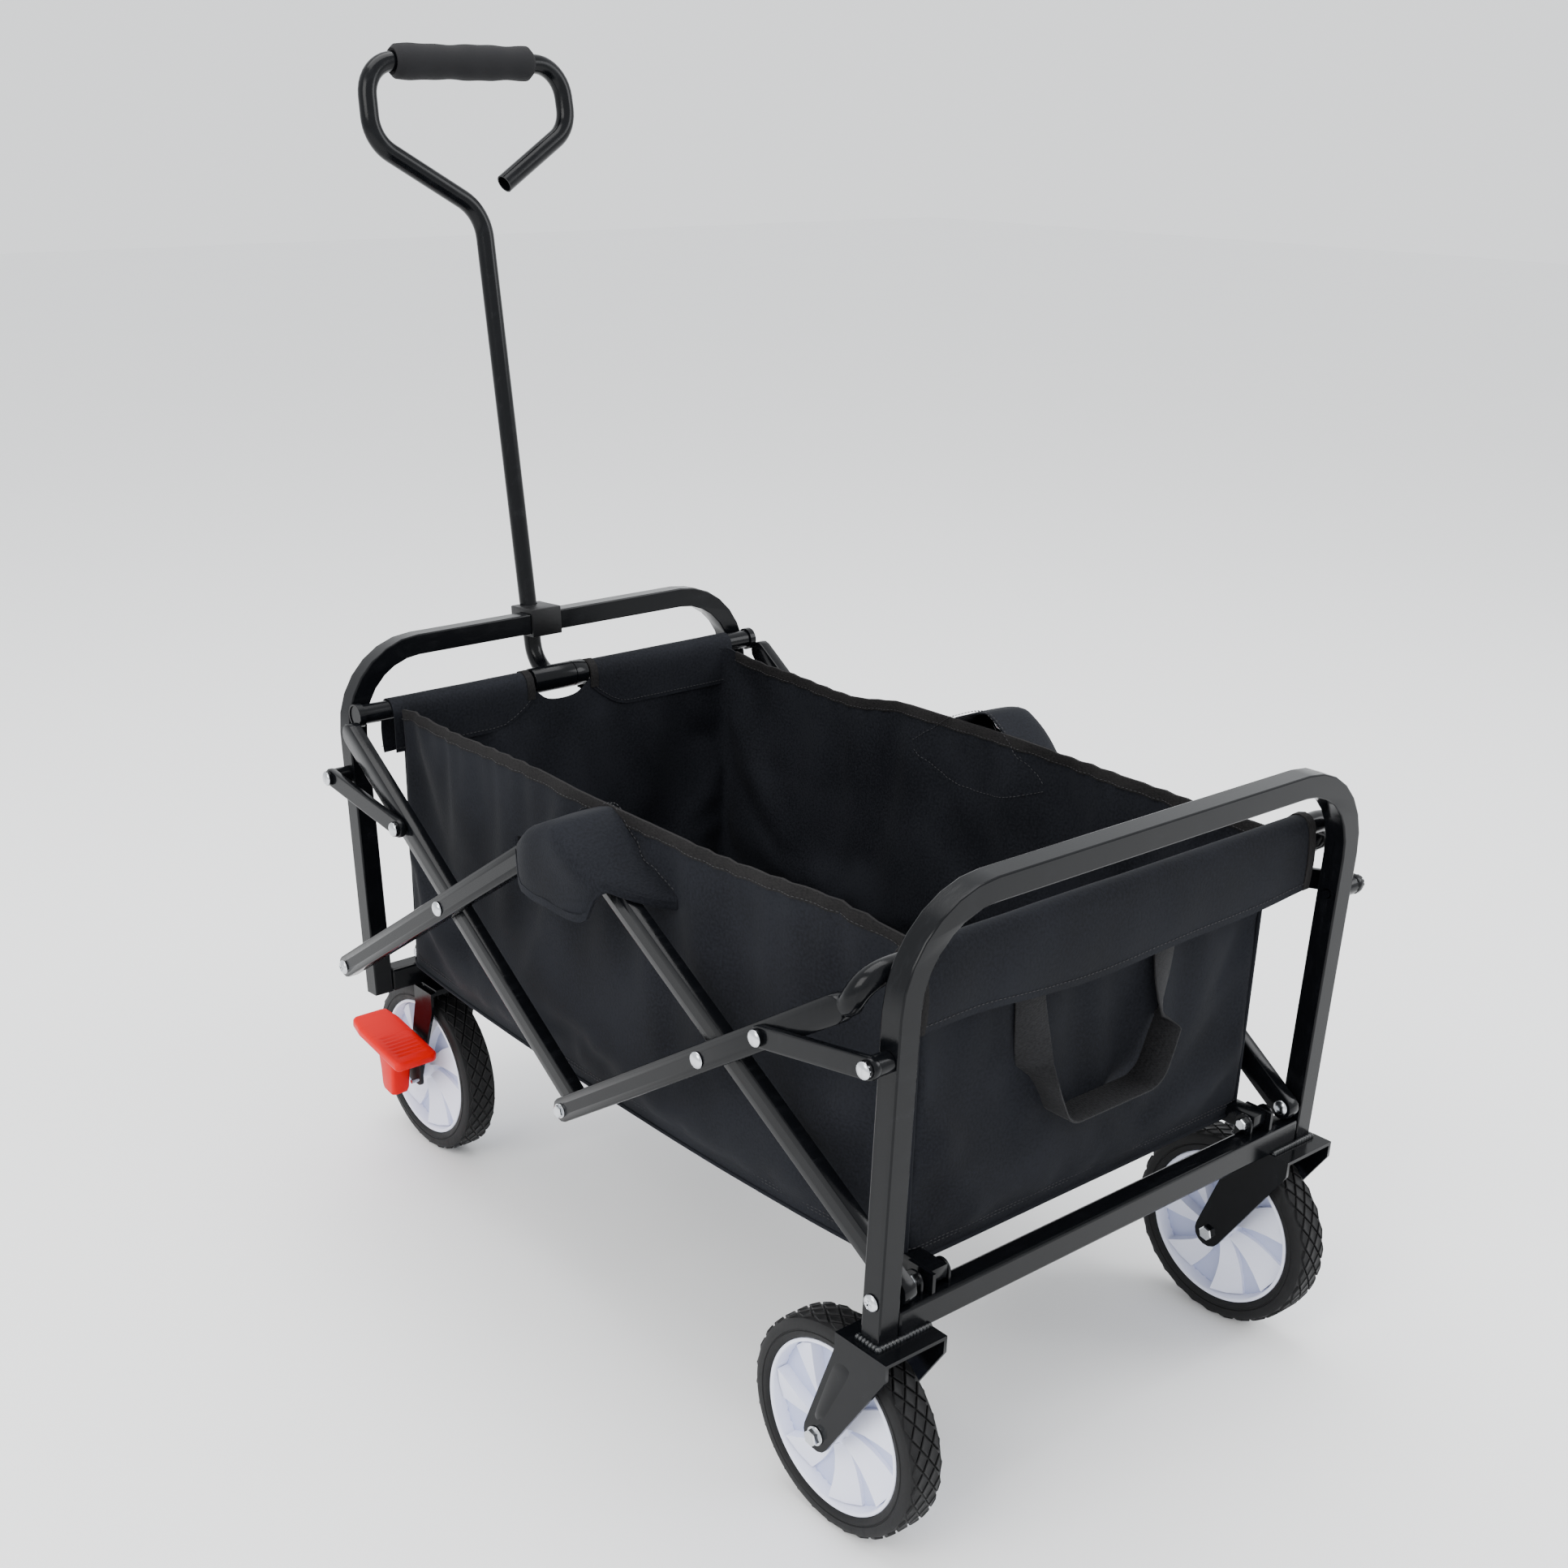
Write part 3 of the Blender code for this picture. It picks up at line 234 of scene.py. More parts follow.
scuff, given, gives = shader_group("light_scuffs", {"Scratches per metre": 30.0, "Share": 0.3}, ["Mask"])
long_way = put(scuff, "ShaderNodeMapping", {"Vector": given["Point"], "Scale": (1.0, 7.0, 2.2)})
marks = clouds(scuff, long_way.outputs[0], given["Scratches per metre"], 6.0, 0.7)
mask = put(scuff, "ShaderNodeMapRange", {
    "Value": marks, "From Min": calc(scuff, "SUBTRACT", 0.78, given["Share"]), "From Max": 0.86})
scuff.links.new(mask.outputs[0], gives["Mask"])

weave, given, gives = shader_group(
    "plain_weave", {"Threads per metre": 1500.0, "Across to along": 1.0}, ["Height", "Tone"])
scaled = put(weave, "ShaderNodeVectorMath", {0: given["Point"], "Scale": given["Threads per metre"]},
             operation="SCALE")
parts = put(weave, "ShaderNodeSeparateXYZ", {0: scaled.outputs[0]})
warp = calc(weave, "SINE", calc(weave, "MULTIPLY", parts.outputs[0], math.pi))
across = calc(weave, "MULTIPLY", parts.outputs[1], given["Across to along"])
weft = calc(weave, "SINE", calc(weave, "MULTIPLY", across, math.pi))
raised = calc(weave, "MULTIPLY_ADD", calc(weave, "MULTIPLY", warp, weft), 0.5, 0.5)
yarn, slub = clouds(weave, given["Point"], 420.0, 4.0), clouds(weave, given["Point"], 9.0, 3.0)
weave.links.new(raised, gives["Height"])
weave.links.new(calc(weave, "MULTIPLY", calc(weave, "ADD", yarn, slub), 0.5), gives["Tone"])
print("shader groups:", grain.name, scuff.name, weave.name)

# %% [markdown]
# A finish is set by its colour pair, a roughness pair and how deep its grain
# is. The two colours are mixed by the cloud and the scuffs, so no surface is
# one flat colour. Powder coat, zinc, rubber and moulded plastic all fit this,
# so one function makes them, and an image of each surface isn't needed.

# %% Hard finishes
def surface(tree, shader, share, dark, light, rough, relief, strength, depth, sockets):
    """Blends two colours and two roughnesses by a share, and adds the fine relief."""
    colours = put(tree, "ShaderNodeMix", {"Factor": share, 6: (*dark, 1), 7: (*light, 1)}, data_type="RGBA")
    gloss = put(tree, "ShaderNodeMapRange", {"Value": share, "To Min": rough[0], "To Max": rough[1]})
    bump = put(tree, "ShaderNodeBump", {"Height": relief, "Strength": strength, "Distance": depth})
    tree.links.new(colours.outputs[2], shader.inputs["Base Color"])
    tree.links.new(gloss.outputs[0], shader.inputs["Roughness"])
    tree.links.new(bump.outputs[0], shader.inputs["Normal"])
    for label, value in sockets.items():
        shader.inputs[label.replace("_", " ")].default_value = value


def hard_finish(name, dark, light, rough, grains, depth, scuffs=0.25, clouded=0.35, **sockets):
    """Paint, metal, rubber or plastic; grains per metre, and depth in metres."""
    made, tree, shader, spots = material(name)
    point = spots.outputs["Object"]
    dots = put(tree, "ShaderNodeGroup", node_tree=grain, inputs={"Point": point, "Grains per metre": grains})
    worn = put(tree, "ShaderNodeGroup", node_tree=scuff, inputs={"Point": point, "Share": scuffs})
    share = calc(tree, "ADD", calc(tree, "MULTIPLY", dots.outputs["Cloud"], clouded), worn.outputs["Mask"],
                 use_clamp=True)
    surface(tree, shader, share, dark, light, rough, dots.outputs["Height"], 0.5, depth, sockets)
    return made


PAINT = hard_finish(
    "black_powder_coat", (0.0020, 0.0023, 0.0030), (0.0055, 0.0060, 0.0072), (0.15, 0.30), 900, 0.00006,
    Specular_IOR_Level=0.15)
ZINC = hard_finish(
    "bright_zinc", (0.62, 0.64, 0.67), (0.40, 0.41, 0.42), (0.18, 0.42), 500, 0.00010, Metallic=1.0)
RUBBER = hard_finish(
    "tyre_rubber", (0.0045, 0.0045, 0.0050), (0.013, 0.013, 0.0135), (0.45, 0.75), 420, 0.00020,
    clouded=0.6, Specular_IOR_Level=0.18)
RIM_PLASTIC = hard_finish(
    "white_moulded_plastic", (0.78, 0.80, 0.93), (0.64, 0.66, 0.79), (0.30, 0.48), 260, 0.00012,
    scuffs=0.05, clouded=0.25, Specular_IOR_Level=0.35)
# A darker bluish copy of the white plastic: painted shade for the recesses between the spokes.
PAINTED_SHADE_PLASTIC = hard_finish(
    "shaded_moulded_plastic", (0.50, 0.54, 0.74), (0.40, 0.43, 0.62), (0.40, 0.56), 260, 0.00012,
    scuffs=0.05, Specular_IOR_Level=0.20)
RED_PLASTIC = hard_finish(
    "red_moulded_plastic", (0.66, 0.0000, 0.0020), (0.50, 0.0004, 0.0026), (0.34, 0.54), 320, 0.00012,
    scuffs=0.12, Specular_IOR_Level=0.10)
BLACK_PLASTIC = hard_finish(
    "black_moulded_plastic", (0.005, 0.005, 0.0055), (0.012, 0.012, 0.013), (0.34, 0.60), 380, 0.00020,
    Specular_IOR_Level=0.22)
FOAM = hard_finish(
    "grip_foam", (0.0060, 0.0060, 0.0068), (0.0130, 0.0130, 0.0145), (0.66, 0.90), 1300, 0.00040,
    clouded=0.8, Specular_IOR_Level=0.20)
WELD = hard_finish(
    "weld_bead", (0.006, 0.007, 0.008), (0.020, 0.022, 0.025), (0.10, 0.26), 600, 0.0003,
    Specular_IOR_Level=0.6)
THREAD = hard_finish(
    "polyester_thread", (0.018, 0.018, 0.020), (0.034, 0.034, 0.036), (0.55, 0.75), 900, 0.0001,
    Specular_IOR_Level=0.25)
print("hard finishes:", PAINT.name, ZINC.name, RUBBER.name, RIM_PLASTIC.name, RED_PLASTIC.name)

# %% [markdown]
# Cloth is drawn on a piece's own UV map, which holds metres of cloth, so that
# the threads follow each panel. Coated polyester is nearly black, with a grey
# heather of lighter yarns and a soft sheen at low angles.

# %% Woven finishes
def woven(name, dark, light, threads, across, depth, rough, **sockets):
    """Cloth or tape with so many threads per metre; across sets how close the cross threads lie."""
    made, tree, shader, spots = material(name)
    cloth = put(tree, "ShaderNodeGroup", node_tree=weave, inputs={
        "Point": spots.outputs["UV"], "Threads per metre": threads, "Across to along": across})
    mixed = put(tree, "ShaderNodeMapRange", {
        "Value": cloth.outputs["Tone"], "From Min": 0.38, "From Max": 0.62})
    lit = calc(tree, "MULTIPLY_ADD", cloth.outputs["Height"], 0.35, 0.0)
    share = calc(tree, "ADD", mixed.outputs[0], lit, use_clamp=True)
    surface(tree, shader, share, dark, light, rough, share, 0.6, depth, sockets)
    return made


CLOTH = woven(
    "black_polyester", (0.0030, 0.0034, 0.0048), (0.0120, 0.0130, 0.0165), 1300, 1.0, 0.00025, (0.62, 0.85),
    Sheen_Weight=0.02, Sheen_Roughness=0.4, Specular_IOR_Level=0.07)
TAPE = woven(
    "binding_tape", (0.0048, 0.0046, 0.0050), (0.0150, 0.0143, 0.0145), 900, 0.35, 0.0003, (0.72, 0.9),
    Specular_IOR_Level=0.10)
WEBBING = woven(
    "ribbed_webbing", (0.0040, 0.0040, 0.0046), (0.0180, 0.0180, 0.0195), 420, 2.4, 0.0006, (0.6, 0.85),
    Sheen_Weight=0.02, Specular_IOR_Level=0.15)
print("woven finishes:", CLOTH.name, TAPE.name, WEBBING.name)

# %% [markdown]
# Every piece ends in the same way, whatever made it. Its doubles are merged and
# its faces turned outwards. Sharp edges are set by their angle, so that flats
# stay crisp and round walls shade smoothly. Then it gets its finish, its body
# and the solids that it stands for.

# %% Finishing helpers
def soften(mesh, limit):
    """Merges doubles, turns faces outwards and marks edges sharper than limit degrees."""
    shape = bmesh.new()
    shape.from_mesh(mesh)
    bmesh.ops.remove_doubles(shape, verts=shape.verts, dist=0.00001)
    bmesh.ops.recalc_face_normals(shape, faces=shape.faces)
    for face in shape.faces:
        face.smooth = True
    for edge in shape.edges:
        edge.smooth = len(edge.link_faces) == 2 and edge.calc_face_angle(0) < math.radians(limit)
    shape.to_mesh(mesh)
    shape.free()


def finished(obj, finish, body, slot, *nodes, limit=35.0):
    """The last step of every piece: shading, finish, body and the solids that it stands for. The slot is not
    used.
    """
    soften(obj.data, limit)
    obj.data.materials.clear()
    obj.data.materials.append(finish)
    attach(obj, body)
    if nodes:
        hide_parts(*nodes)
    return obj


def from_shape(name, shape):
    """A bmesh kept as an object."""
    mesh = bpy.data.meshes.new(name)
    shape.to_mesh(mesh)
    shape.free()
    return new_object(name, mesh)


def joined(name, objects):
    """One object of several; the sources are removed."""
    shape = bmesh.new()
    for obj in objects:
        shape.from_mesh(obj.data)
        bpy.data.objects.remove(obj)
    return from_shape(name, shape)


print("finishing helpers ready")

# %% [markdown]
# Wheels, bolts and collars are round about a line along X, so a profile is
# turned about it. Bent tubes are a round section swept along a path. Blender's
# Spin and Bevel could make both, but here each ring of points is known, which
# leaves room for a flattened foot and an open tube end.

# %% Turned and swept shapes
OPEN_DEPTH = 0.012


def mirrored(half, shared=0):
    """A profile of (x, radius) points and its mirror image; shared points lie on the middle."""
    return half + [(-x, r) for x, r in reversed(half[:len(half) - shared])]


def turned(name, profile, at, sides=48, phase=0.0):
    """A closed profile of (x, radius) points turned about the line along X through at."""
    points, faces = [], []
    count = len(profile)
    for i in range(sides):
        angle = 2 * math.pi * i / sides + phase
        for x, radius in profile:
            points.append((at[0] + x, at[1] + radius * math.sin(angle), at[2] + radius * math.cos(angle)))
        here, there = i * count, (i + 1) % sides * count
        for k in range(count):
            after = (k + 1) % count
            faces.append((here + k, here + after, there + after, there + k))
    obj = plain_mesh(name, points, faces)
    shape = bmesh.new()
    shape.from_mesh(obj.data)
    bmesh.ops.remove_doubles(shape, verts=shape.verts, dist=0.000001)
    bmesh.ops.dissolve_degenerate(shape, edges=shape.edges, dist=0.000001)
    shape.to_mesh(obj.data)
    shape.free()
    return obj


def swept(name, path, radius, sides=20, flat=None, hollow=0.0):
    """A tube along path. flat gives (wide, high) factors per point, and hollow opens the last end."""
    path = [Vector(p) for p in path]
    rings, count = [], len(path)
    ahead = (path[1] - path[0]).normalized()
    up = Vector((1, 0, 0)) if abs(ahead.x) < 0.9 else Vector((0, 0, 1))
    up = (up - ahead * up.dot(ahead)).normalized()
    for i, point in enumerate(path):
        along = (path[min(i + 1, count - 1)] - path[max(i - 1, 0)]).normalized()
        up = (up - along * up.dot(along)).normalized()
        out = along.cross(up)
        wide, high = flat[i] if flat else (1.0, 1.0)
        rings.append((point, up * wide * radius, out * high * radius))
    if hollow:
        point, up_r, out_r = rings[-1]
        inner = (radius - hollow) / radius
        deep = path[-1] - along * OPEN_DEPTH
        rings += [(point, up_r * inner, out_r * inner), (deep, up_r * inner, out_r * inner)]
    points = [p + u * math.cos(2 * math.pi * k / sides) + o * math.sin(2 * math.pi * k / sides)
              for p, u, o in rings for k in range(sides)]
    faces = []
    for first in range(0, (len(rings) - 1) * sides, sides):
        for k in range(sides):
            after = (k + 1) % sides
            faces.append((first + k, first + after, first + sides + after, first + sides + k))
    faces += [tuple(range(sides)), tuple(range(len(points) - 1, len(points) - sides - 1, -1))]
    return plain_mesh(name, points, faces)


print("an open tube end is", OPEN_DEPTH, "m deep")

# %% [markdown]
# Square tubes, scissor bars, links, forks and cross tubes have the right shape
# as solids, so they aren't modelled again. Their looks are a merged copy with
# crisp edges and powder coat.

# %% Painted frame
PAINTED_WORDS = ("u_frame", "cross_tube", "_bar_", "_fork_", "floor_rail", "_link_")


def painted(node, finish, slot, limit):
    """A merged copy of a CAD solid with a proper finish."""
    obj = new_object(node + "_finish", NODES[node].data.copy())
    return finished(obj, finish, NODE_BODY[node], slot, node, limit=limit)


PAINTED = [node for node in NODES if any(word in node for word in PAINTED_WORDS)]
for node in PAINTED:
    painted(node, PAINT, "frame_paint", 20.0 if "frame" in node or "cross_tube" in node else 32.0)
painted("handle_clip", BLACK_PLASTIC, "clip_plastic", 32.0)
print("painted copies:", len(PAINTED) + 1)

# %% [markdown]
# Treads, spokes, stitches and weld ripples repeat, and copying each one by hand
# would be slow. Two Geometry Nodes trees make them all: one turns its shape
# round an axle, and one sets a small rounded grain along a path. Both end in
# plain geometry.

# %% Geometry Nodes helpers
def geometry_tree(name, inputs):
    """An empty tree: geometry and the named inputs go in, and geometry comes out."""
    tree = bpy.data.node_groups.new(name, "GeometryNodeTree")
    tree.interface.new_socket("Geometry", in_out="INPUT", socket_type="NodeSocketGeometry")
    for label, kind in inputs.items():
        tree.interface.new_socket(label, in_out="INPUT", socket_type="NodeSocket" + kind)
    tree.interface.new_socket("Geometry", in_out="OUTPUT", socket_type="NodeSocketGeometry")
    return tree, tree.nodes.new("NodeGroupInput").outputs


def end_tree(tree, instances, finish):
    """Turns instances into real faces with a material, and sends them out."""
    solid = put(tree, "GeometryNodeRealizeInstances", {0: instances})
    coated = put(tree, "GeometryNodeSetMaterial", {"Geometry": solid.outputs[0], "Material": finish})
    put(tree, "NodeGroupOutput", {0: coated.outputs[0]})


def grown(obj, tree, **values):
    """Runs a tree on an object and keeps the plain mesh. Words in a name are joined by _ here."""
    modifier = obj.modifiers.new("grow", "NODES")
    modifier.node_group = tree
    for item in tree.interface.items_tree:
        key = item.name.replace(" ", "_")
        if item.item_type == "SOCKET" and item.in_out == "INPUT" and key in values:
            modifier[item.identifier] = values[key]
    return applied(obj)


def applied(obj):
    """Keeps what the modifiers make, and removes them."""
    result = bpy.data.meshes.new_from_object(obj.evaluated_get(bpy.context.evaluated_depsgraph_get()))
    obj.modifiers.clear()
    obj.data = result
    return obj


print("geometry helpers ready")

# %% [markdown]
# The first tree moves a sector to the origin, puts one copy on each of Count
# points at the axle, and turns each copy by its share of a full turn. An Array
# modifier could do this too, but it needs a second object to turn about.

# %% A tree that turns a shape round an axle
round_axle, given = geometry_tree("round_axle", {"Count": "Int", "Axle": "Vector", "Finish": "Material"})
to_axle = put(round_axle, "ShaderNodeVectorMath", {0: given["Axle"], "Scale": -1.0}, operation="SCALE")
at_zero = put(round_axle, "GeometryNodeTransform", {
    "Geometry": given["Geometry"], "Translation": to_axle.outputs[0]})
row = put(round_axle, "GeometryNodeMeshLine", {"Count": given["Count"], "Offset": (0, 0, 0)})
on_axle = put(round_axle, "GeometryNodeSetPosition", {"Geometry": row.outputs[0], "Position": given["Axle"]})
number = put(round_axle, "GeometryNodeInputIndex")
share = calc(round_axle, "DIVIDE", number.outputs[0], given["Count"])
turn = put(round_axle, "ShaderNodeCombineXYZ", {0: calc(round_axle, "MULTIPLY", share, 2 * math.pi)})
copies = put(round_axle, "GeometryNodeInstanceOnPoints", {
    "Points": on_axle.outputs[0], "Instance": at_zero.outputs[0], "Rotation": turn.outputs[0]})
end_tree(round_axle, copies.outputs[0], given["Finish"])
print("geometry tree:", round_axle.name)

# %% [markdown]
# The second tree makes grains along a path. A stitch and a weld ripple are both
# one small stretched ball at a steady pitch, turned to follow the path. It has
# few faces, because hundreds of them are made.

# %% A tree that sets grains along a path
STITCH_PITCH = 0.0042
STITCH, HEAVY_STITCH = (0.0032, 0.0007, 0.0007), (0.0032, 0.0008, 0.0008)
along_path, given = geometry_tree("along_path", {
    "Pitch": "Float", "Grain size": "Vector", "Finish": "Material"})
line = put(along_path, "GeometryNodeMeshToCurve", {0: given["Geometry"]})
steps = put(along_path, "GeometryNodeResampleCurve", {"Curve": line.outputs[0], "Length": given["Pitch"]},
            mode="LENGTH")
way = put(along_path, "GeometryNodeInputTangent")
lined_up = put(along_path, "FunctionNodeAlignRotationToVector", {"Vector": way.outputs[0]}, axis="X")
bead = put(along_path, "GeometryNodeMeshUVSphere", {"Segments": 6, "Rings": 4, "Radius": 0.5})
laid = put(along_path, "GeometryNodeInstanceOnPoints", {
    "Points": steps.outputs[0], "Instance": bead.outputs[0], "Rotation": lined_up.outputs[0],
    "Scale": given["Grain size"]})
end_tree(along_path, laid.outputs[0], given["Finish"])


def beads(name, paths, pitch, size, finish, body, slot):
    """Small rounded grains along paths."""
    points, edges = [], []
    for path in paths:
        first = len(points)
        points += path
        edges += [(first + i, first + i + 1) for i in range(len(path) - 1)]
    obj = plain_mesh(name, points, [], edges)
    grown(obj, along_path, Pitch=pitch, Grain_size=size, Finish=finish)
    return finished(obj, finish, body, slot, limit=60.0)


def stitched(name, lines, body, size=STITCH):
    """Rows of thread."""
    return beads(name, lines, STITCH_PITCH, size, THREAD, body, "tub_fabric")


print("geometry tree:", along_path.name)

# %% [markdown]
# Every scissor joint is closed by a zinc rivet with a low dome at each end.
# The rear feet have cross-head screws instead. A rivet's length, place and
# head size come from its solid's box, so one function makes them all.

# %% Rivets and screws
RIVET_DOME, RIVET_SHANK = 0.0030, 0.0034
DOME_STEPS = 5
CROSS_LONG, CROSS_SHORT, CROSS_THICK = 0.0065, 0.0016, 0.0007


def rivet_profile(half, head):
    """(x, radius) points from the low end to the high end, with a dome on each."""
    flat = half - RIVET_DOME
    turns = [math.pi / 2 * i / DOME_STEPS for i in range(DOME_STEPS + 1)]
    left = [(-flat - RIVET_DOME * math.cos(t), head * math.sin(t)) for t in turns]
    return left + [(-flat, RIVET_SHANK), (flat, RIVET_SHANK)] + [(-x, r) for x, r in reversed(left)]


def rivet(node, crossed):
    """A rivet in place of a pin, with a cross in its outer head where crossed."""
    centre, half = middle(node), half_size(node)
    pieces = [turned(node + "_rivet", rivet_profile(half.x, half.z), centre, 24)]
    outer = math.copysign(half.x - 0.0001, centre.x)
    for long, high in ((CROSS_SHORT, CROSS_LONG), (CROSS_LONG, CROSS_SHORT)) if crossed else ():
        bar = bmesh.new()
        place = Matrix.Translation(centre + Vector((outer, 0, 0)))
        bmesh.ops.create_cube(bar, size=1.0, matrix=place @ Matrix.Diagonal((CROSS_THICK, long, high, 1)))
        pieces.append(from_shape("cross", bar))
    made = joined(node + "_rivet", pieces) if crossed else pieces[0]
    return finished(made, ZINC, NODE_BODY[node], "zinc_hardware", node)


RIVETS = [node for node in NODES if "_pin_" in node]
for node in RIVETS:
    rivet(node, "foot" in node)
print("rivets:", len(RIVETS))

# %% [markdown]
# The axles and the lower middle joints are bolts. A bolt has a washer and a
# six-sided head outside, and a nut with the thread's end inside. A turned
# profile with six sides gives a hexagon, so the same helper makes all of it.

# %% Axle bolts and middle bolts
BOLT_SHANK = 0.0038


def hex_bolt(node, head, deep):
    """A bolt with heads of a radius and a depth, as long as its solid."""
    centre, half = middle(node), half_size(node).x
    base = half - deep
    pieces = [turned("shank", mirrored([(-base, 0), (-base, BOLT_SHANK)]), centre, 20)]
    for end in (-1, 1):
        outline = [(base, 0), (base, head * 1.16), (base + 0.0008, head * 1.12), (base + 0.0008, 0)]
        pieces.append(turned("washer", [(end * x, r) for x, r in outline], centre, 28))
        outline = [(base + 0.0007, 0), (base + 0.0007, head), (half - 0.0007, head), (half, head * 0.84),
                   (half, 0)]
        pieces.append(turned("nut", [(end * x, r) for x, r in outline], centre, 6, 0.3))
        if end * centre.x < 0:
            tip = half + 0.0002
            outline = [(base, 0), (base, BOLT_SHANK), (tip, BOLT_SHANK * 0.8), (tip, 0)]
            pieces.append(turned("thread", [(end * x, r) for x, r in outline], centre, 16))
    made = joined(node + "_bolt", pieces)
    return finished(made, ZINC, NODE_BODY[node], "zinc_hardware", node, limit=25.0)


for side, tag in SIDES:
    hex_bolt("rear_axle_" + tag, 0.0068, 0.0058)
    hex_bolt("front_axle_" + tag, 0.0058, 0.0016)
    hex_bolt("low_middle_bolt_" + tag, 0.0056, 0.0034)
print("six bolts")

# %% [markdown]
# The tyre is a turned carcass with a raised line on its wall. Its tread is a
# lattice of diamond blocks, each a low prism with a dished top. The whole tread
# could be modelled, but one sector of five blocks is enough: the axle tree
# turns thirty of them round the wheel.

# %% Tyres
SECTORS = 30
SHOULDER = 0.0140
TYRE_HALF = 0.0168
BLOCK_TOP, BLOCK_ROOT = WHEEL_R - 0.0003, WHEEL_R - 0.0030
BLOCK_WIDE, BLOCK_SHARE = 0.0050, 0.84
BLOCK_LEVELS = ((BLOCK_ROOT, 1.08), (BLOCK_TOP - 0.0004, 1.0), (BLOCK_TOP, 0.86), (BLOCK_TOP - 0.0005, 0.60))
TYRE_WALL = [(TYRE_HALF - inset, radius) for inset, radius in (
    (0.0018, 0.0706), (0.0002, 0.0730), (0, 0.0758), (0.0007, 0.0764), (0.0007, 0.0770), (0, 0.0776),
    (0.0002, 0.0806), (0.0007, 0.0838), (0.0018, 0.0856), (0.0040, 0.0865))] + [(0, 0.0870)]


def diamond_block(x, along, long, shape, at):
    """One block: x across the tread, along the way round, in metres; clipped at the shoulder."""
    rings = []
    for radius, share in BLOCK_LEVELS:
        ring = []
        for dx, dt in ((BLOCK_WIDE, 0), (0, long), (-BLOCK_WIDE, 0), (0, -long)):
            px = max(-SHOULDER, min(SHOULDER, x + dx * share))
            turn_by = (along + dt * share) / WHEEL_R
            reach = radius - 0.0009 * max(0.0, (abs(px) - 0.009) / 0.005) ** 2
            ring.append(shape.verts.new(
                (at.x + px, at.y + reach * math.sin(turn_by), at.z + reach * math.cos(turn_by))))
        rings.append(ring)
    for low, high in zip(rings, rings[1:]):
        for k in range(4):
            shape.faces.new((low[k], low[(k + 1) % 4], high[(k + 1) % 4], high[k]))
    shape.faces.new(rings[-1])
    shape.faces.new(list(reversed(rings[0])))


def tyre(prefix):
    """A carcass with its tread turned round it."""
    node = prefix + "_tyre"
    at = middle(node)
    carcass = turned(node + "_carcass", mirrored(TYRE_WALL, 1), at, 96)
    shape = bmesh.new()
    half_turn = math.pi * WHEEL_R / SECTORS
    for x, along in ((-0.0118, 0.0), (0.0, 0.0), (0.0118, 0.0), (-0.0059, half_turn), (0.0059, half_turn)):
        diamond_block(x, along, half_turn * BLOCK_SHARE, shape, at)
    tread = grown(from_shape("tread", shape), round_axle, Count=SECTORS, Axle=tuple(at), Finish=RUBBER)
    made = joined(node + "_tread", [carcass, tread])
    return finished(made, RUBBER, NODE_BODY[node], "tyre_rubber", node, limit=30.0)


WHEELS = [end + "_" + tag for end in ("rear", "front") for _, tag in SIDES]
for prefix in WHEELS:
    made = tyre(prefix)
print("tyre faces:", len(made.data.polygons))

# %% [markdown]
# The rim is a pinwheel: seven broad spokes whose face slopes from a high edge
# to a low one, with a shallow recess between them. A spoke is a closed wedge,
# a little skewed about the hub, and both sides of the wheel are alike. Behind
# the spokes is a thin web in a darker bluish plastic, which is painted shade
# in the recesses.

# %% Rims
SPOKES = 7
HUB_R, DISC_R = 0.0145, 0.0655
SPOKE_STATIONS = ((0.0, 0.0008), (0.47, 0.0004), (0.475, 0.0138), (0.735, 0.0100), (0.995, 0.0062),
                  (1.0, 0.0008))
SPOKE_RADII = (HUB_R - 0.001, 0.024, 0.036, 0.050, DISC_R)
RIM_LIP = [(0.0132, 0.0704), (0.0150, 0.0700), (0.0156, 0.0690), (0.0154, 0.0676), (0.0140, 0.0668),
           (0.0098, 0.0664), (0.0040, 0.0660)]
WEB_HALF = [(0.0034, HUB_R - 0.002), (0.0030, 0.040), (0.0030, 0.0660), (0.0120, 0.0668), (0.0120, 0.0672)]


def spoke_sector(name, at):
    """One seventh of the disc: recess, step up, sloping spoke, step down."""
    points, faces = [], []
    across, around = len(SPOKE_RADII), len(SPOKE_STATIONS)
    for side in (1, -1):
        for share, high in SPOKE_STATIONS:
            for radius in SPOKE_RADII:
                out = (radius - SPOKE_RADII[0]) / (DISC_R - SPOKE_RADII[0])
                turn_by = share * 2 * math.pi / SPOKES + 0.30 * (1 - out) ** 1.2
                lift = high * (0.86 + 0.10 * out) + 0.0030 * (1 - out) ** 2
                points.append((at.x + side * lift, at.y + radius * math.sin(turn_by),
                               at.z + radius * math.cos(turn_by)))
    back = across * around
    for i in range(around - 1):
        for k in range(across - 1):
            a, b = i * across + k, (i + 1) * across + k
            faces += [(a, a + 1, b + 1, b), (back + a, back + b, back + b + 1, back + a + 1)]
        for k in (0, across - 1):
            a, b = i * across + k, (i + 1) * across + k
            faces.append((a, b, back + b, back + a))
    for i in (0, around - 1):
        for k in range(across - 1):
            a = i * across + k
            faces.append((a, a + 1, back + a + 1, back + a))
    return plain_mesh(name, points, faces)


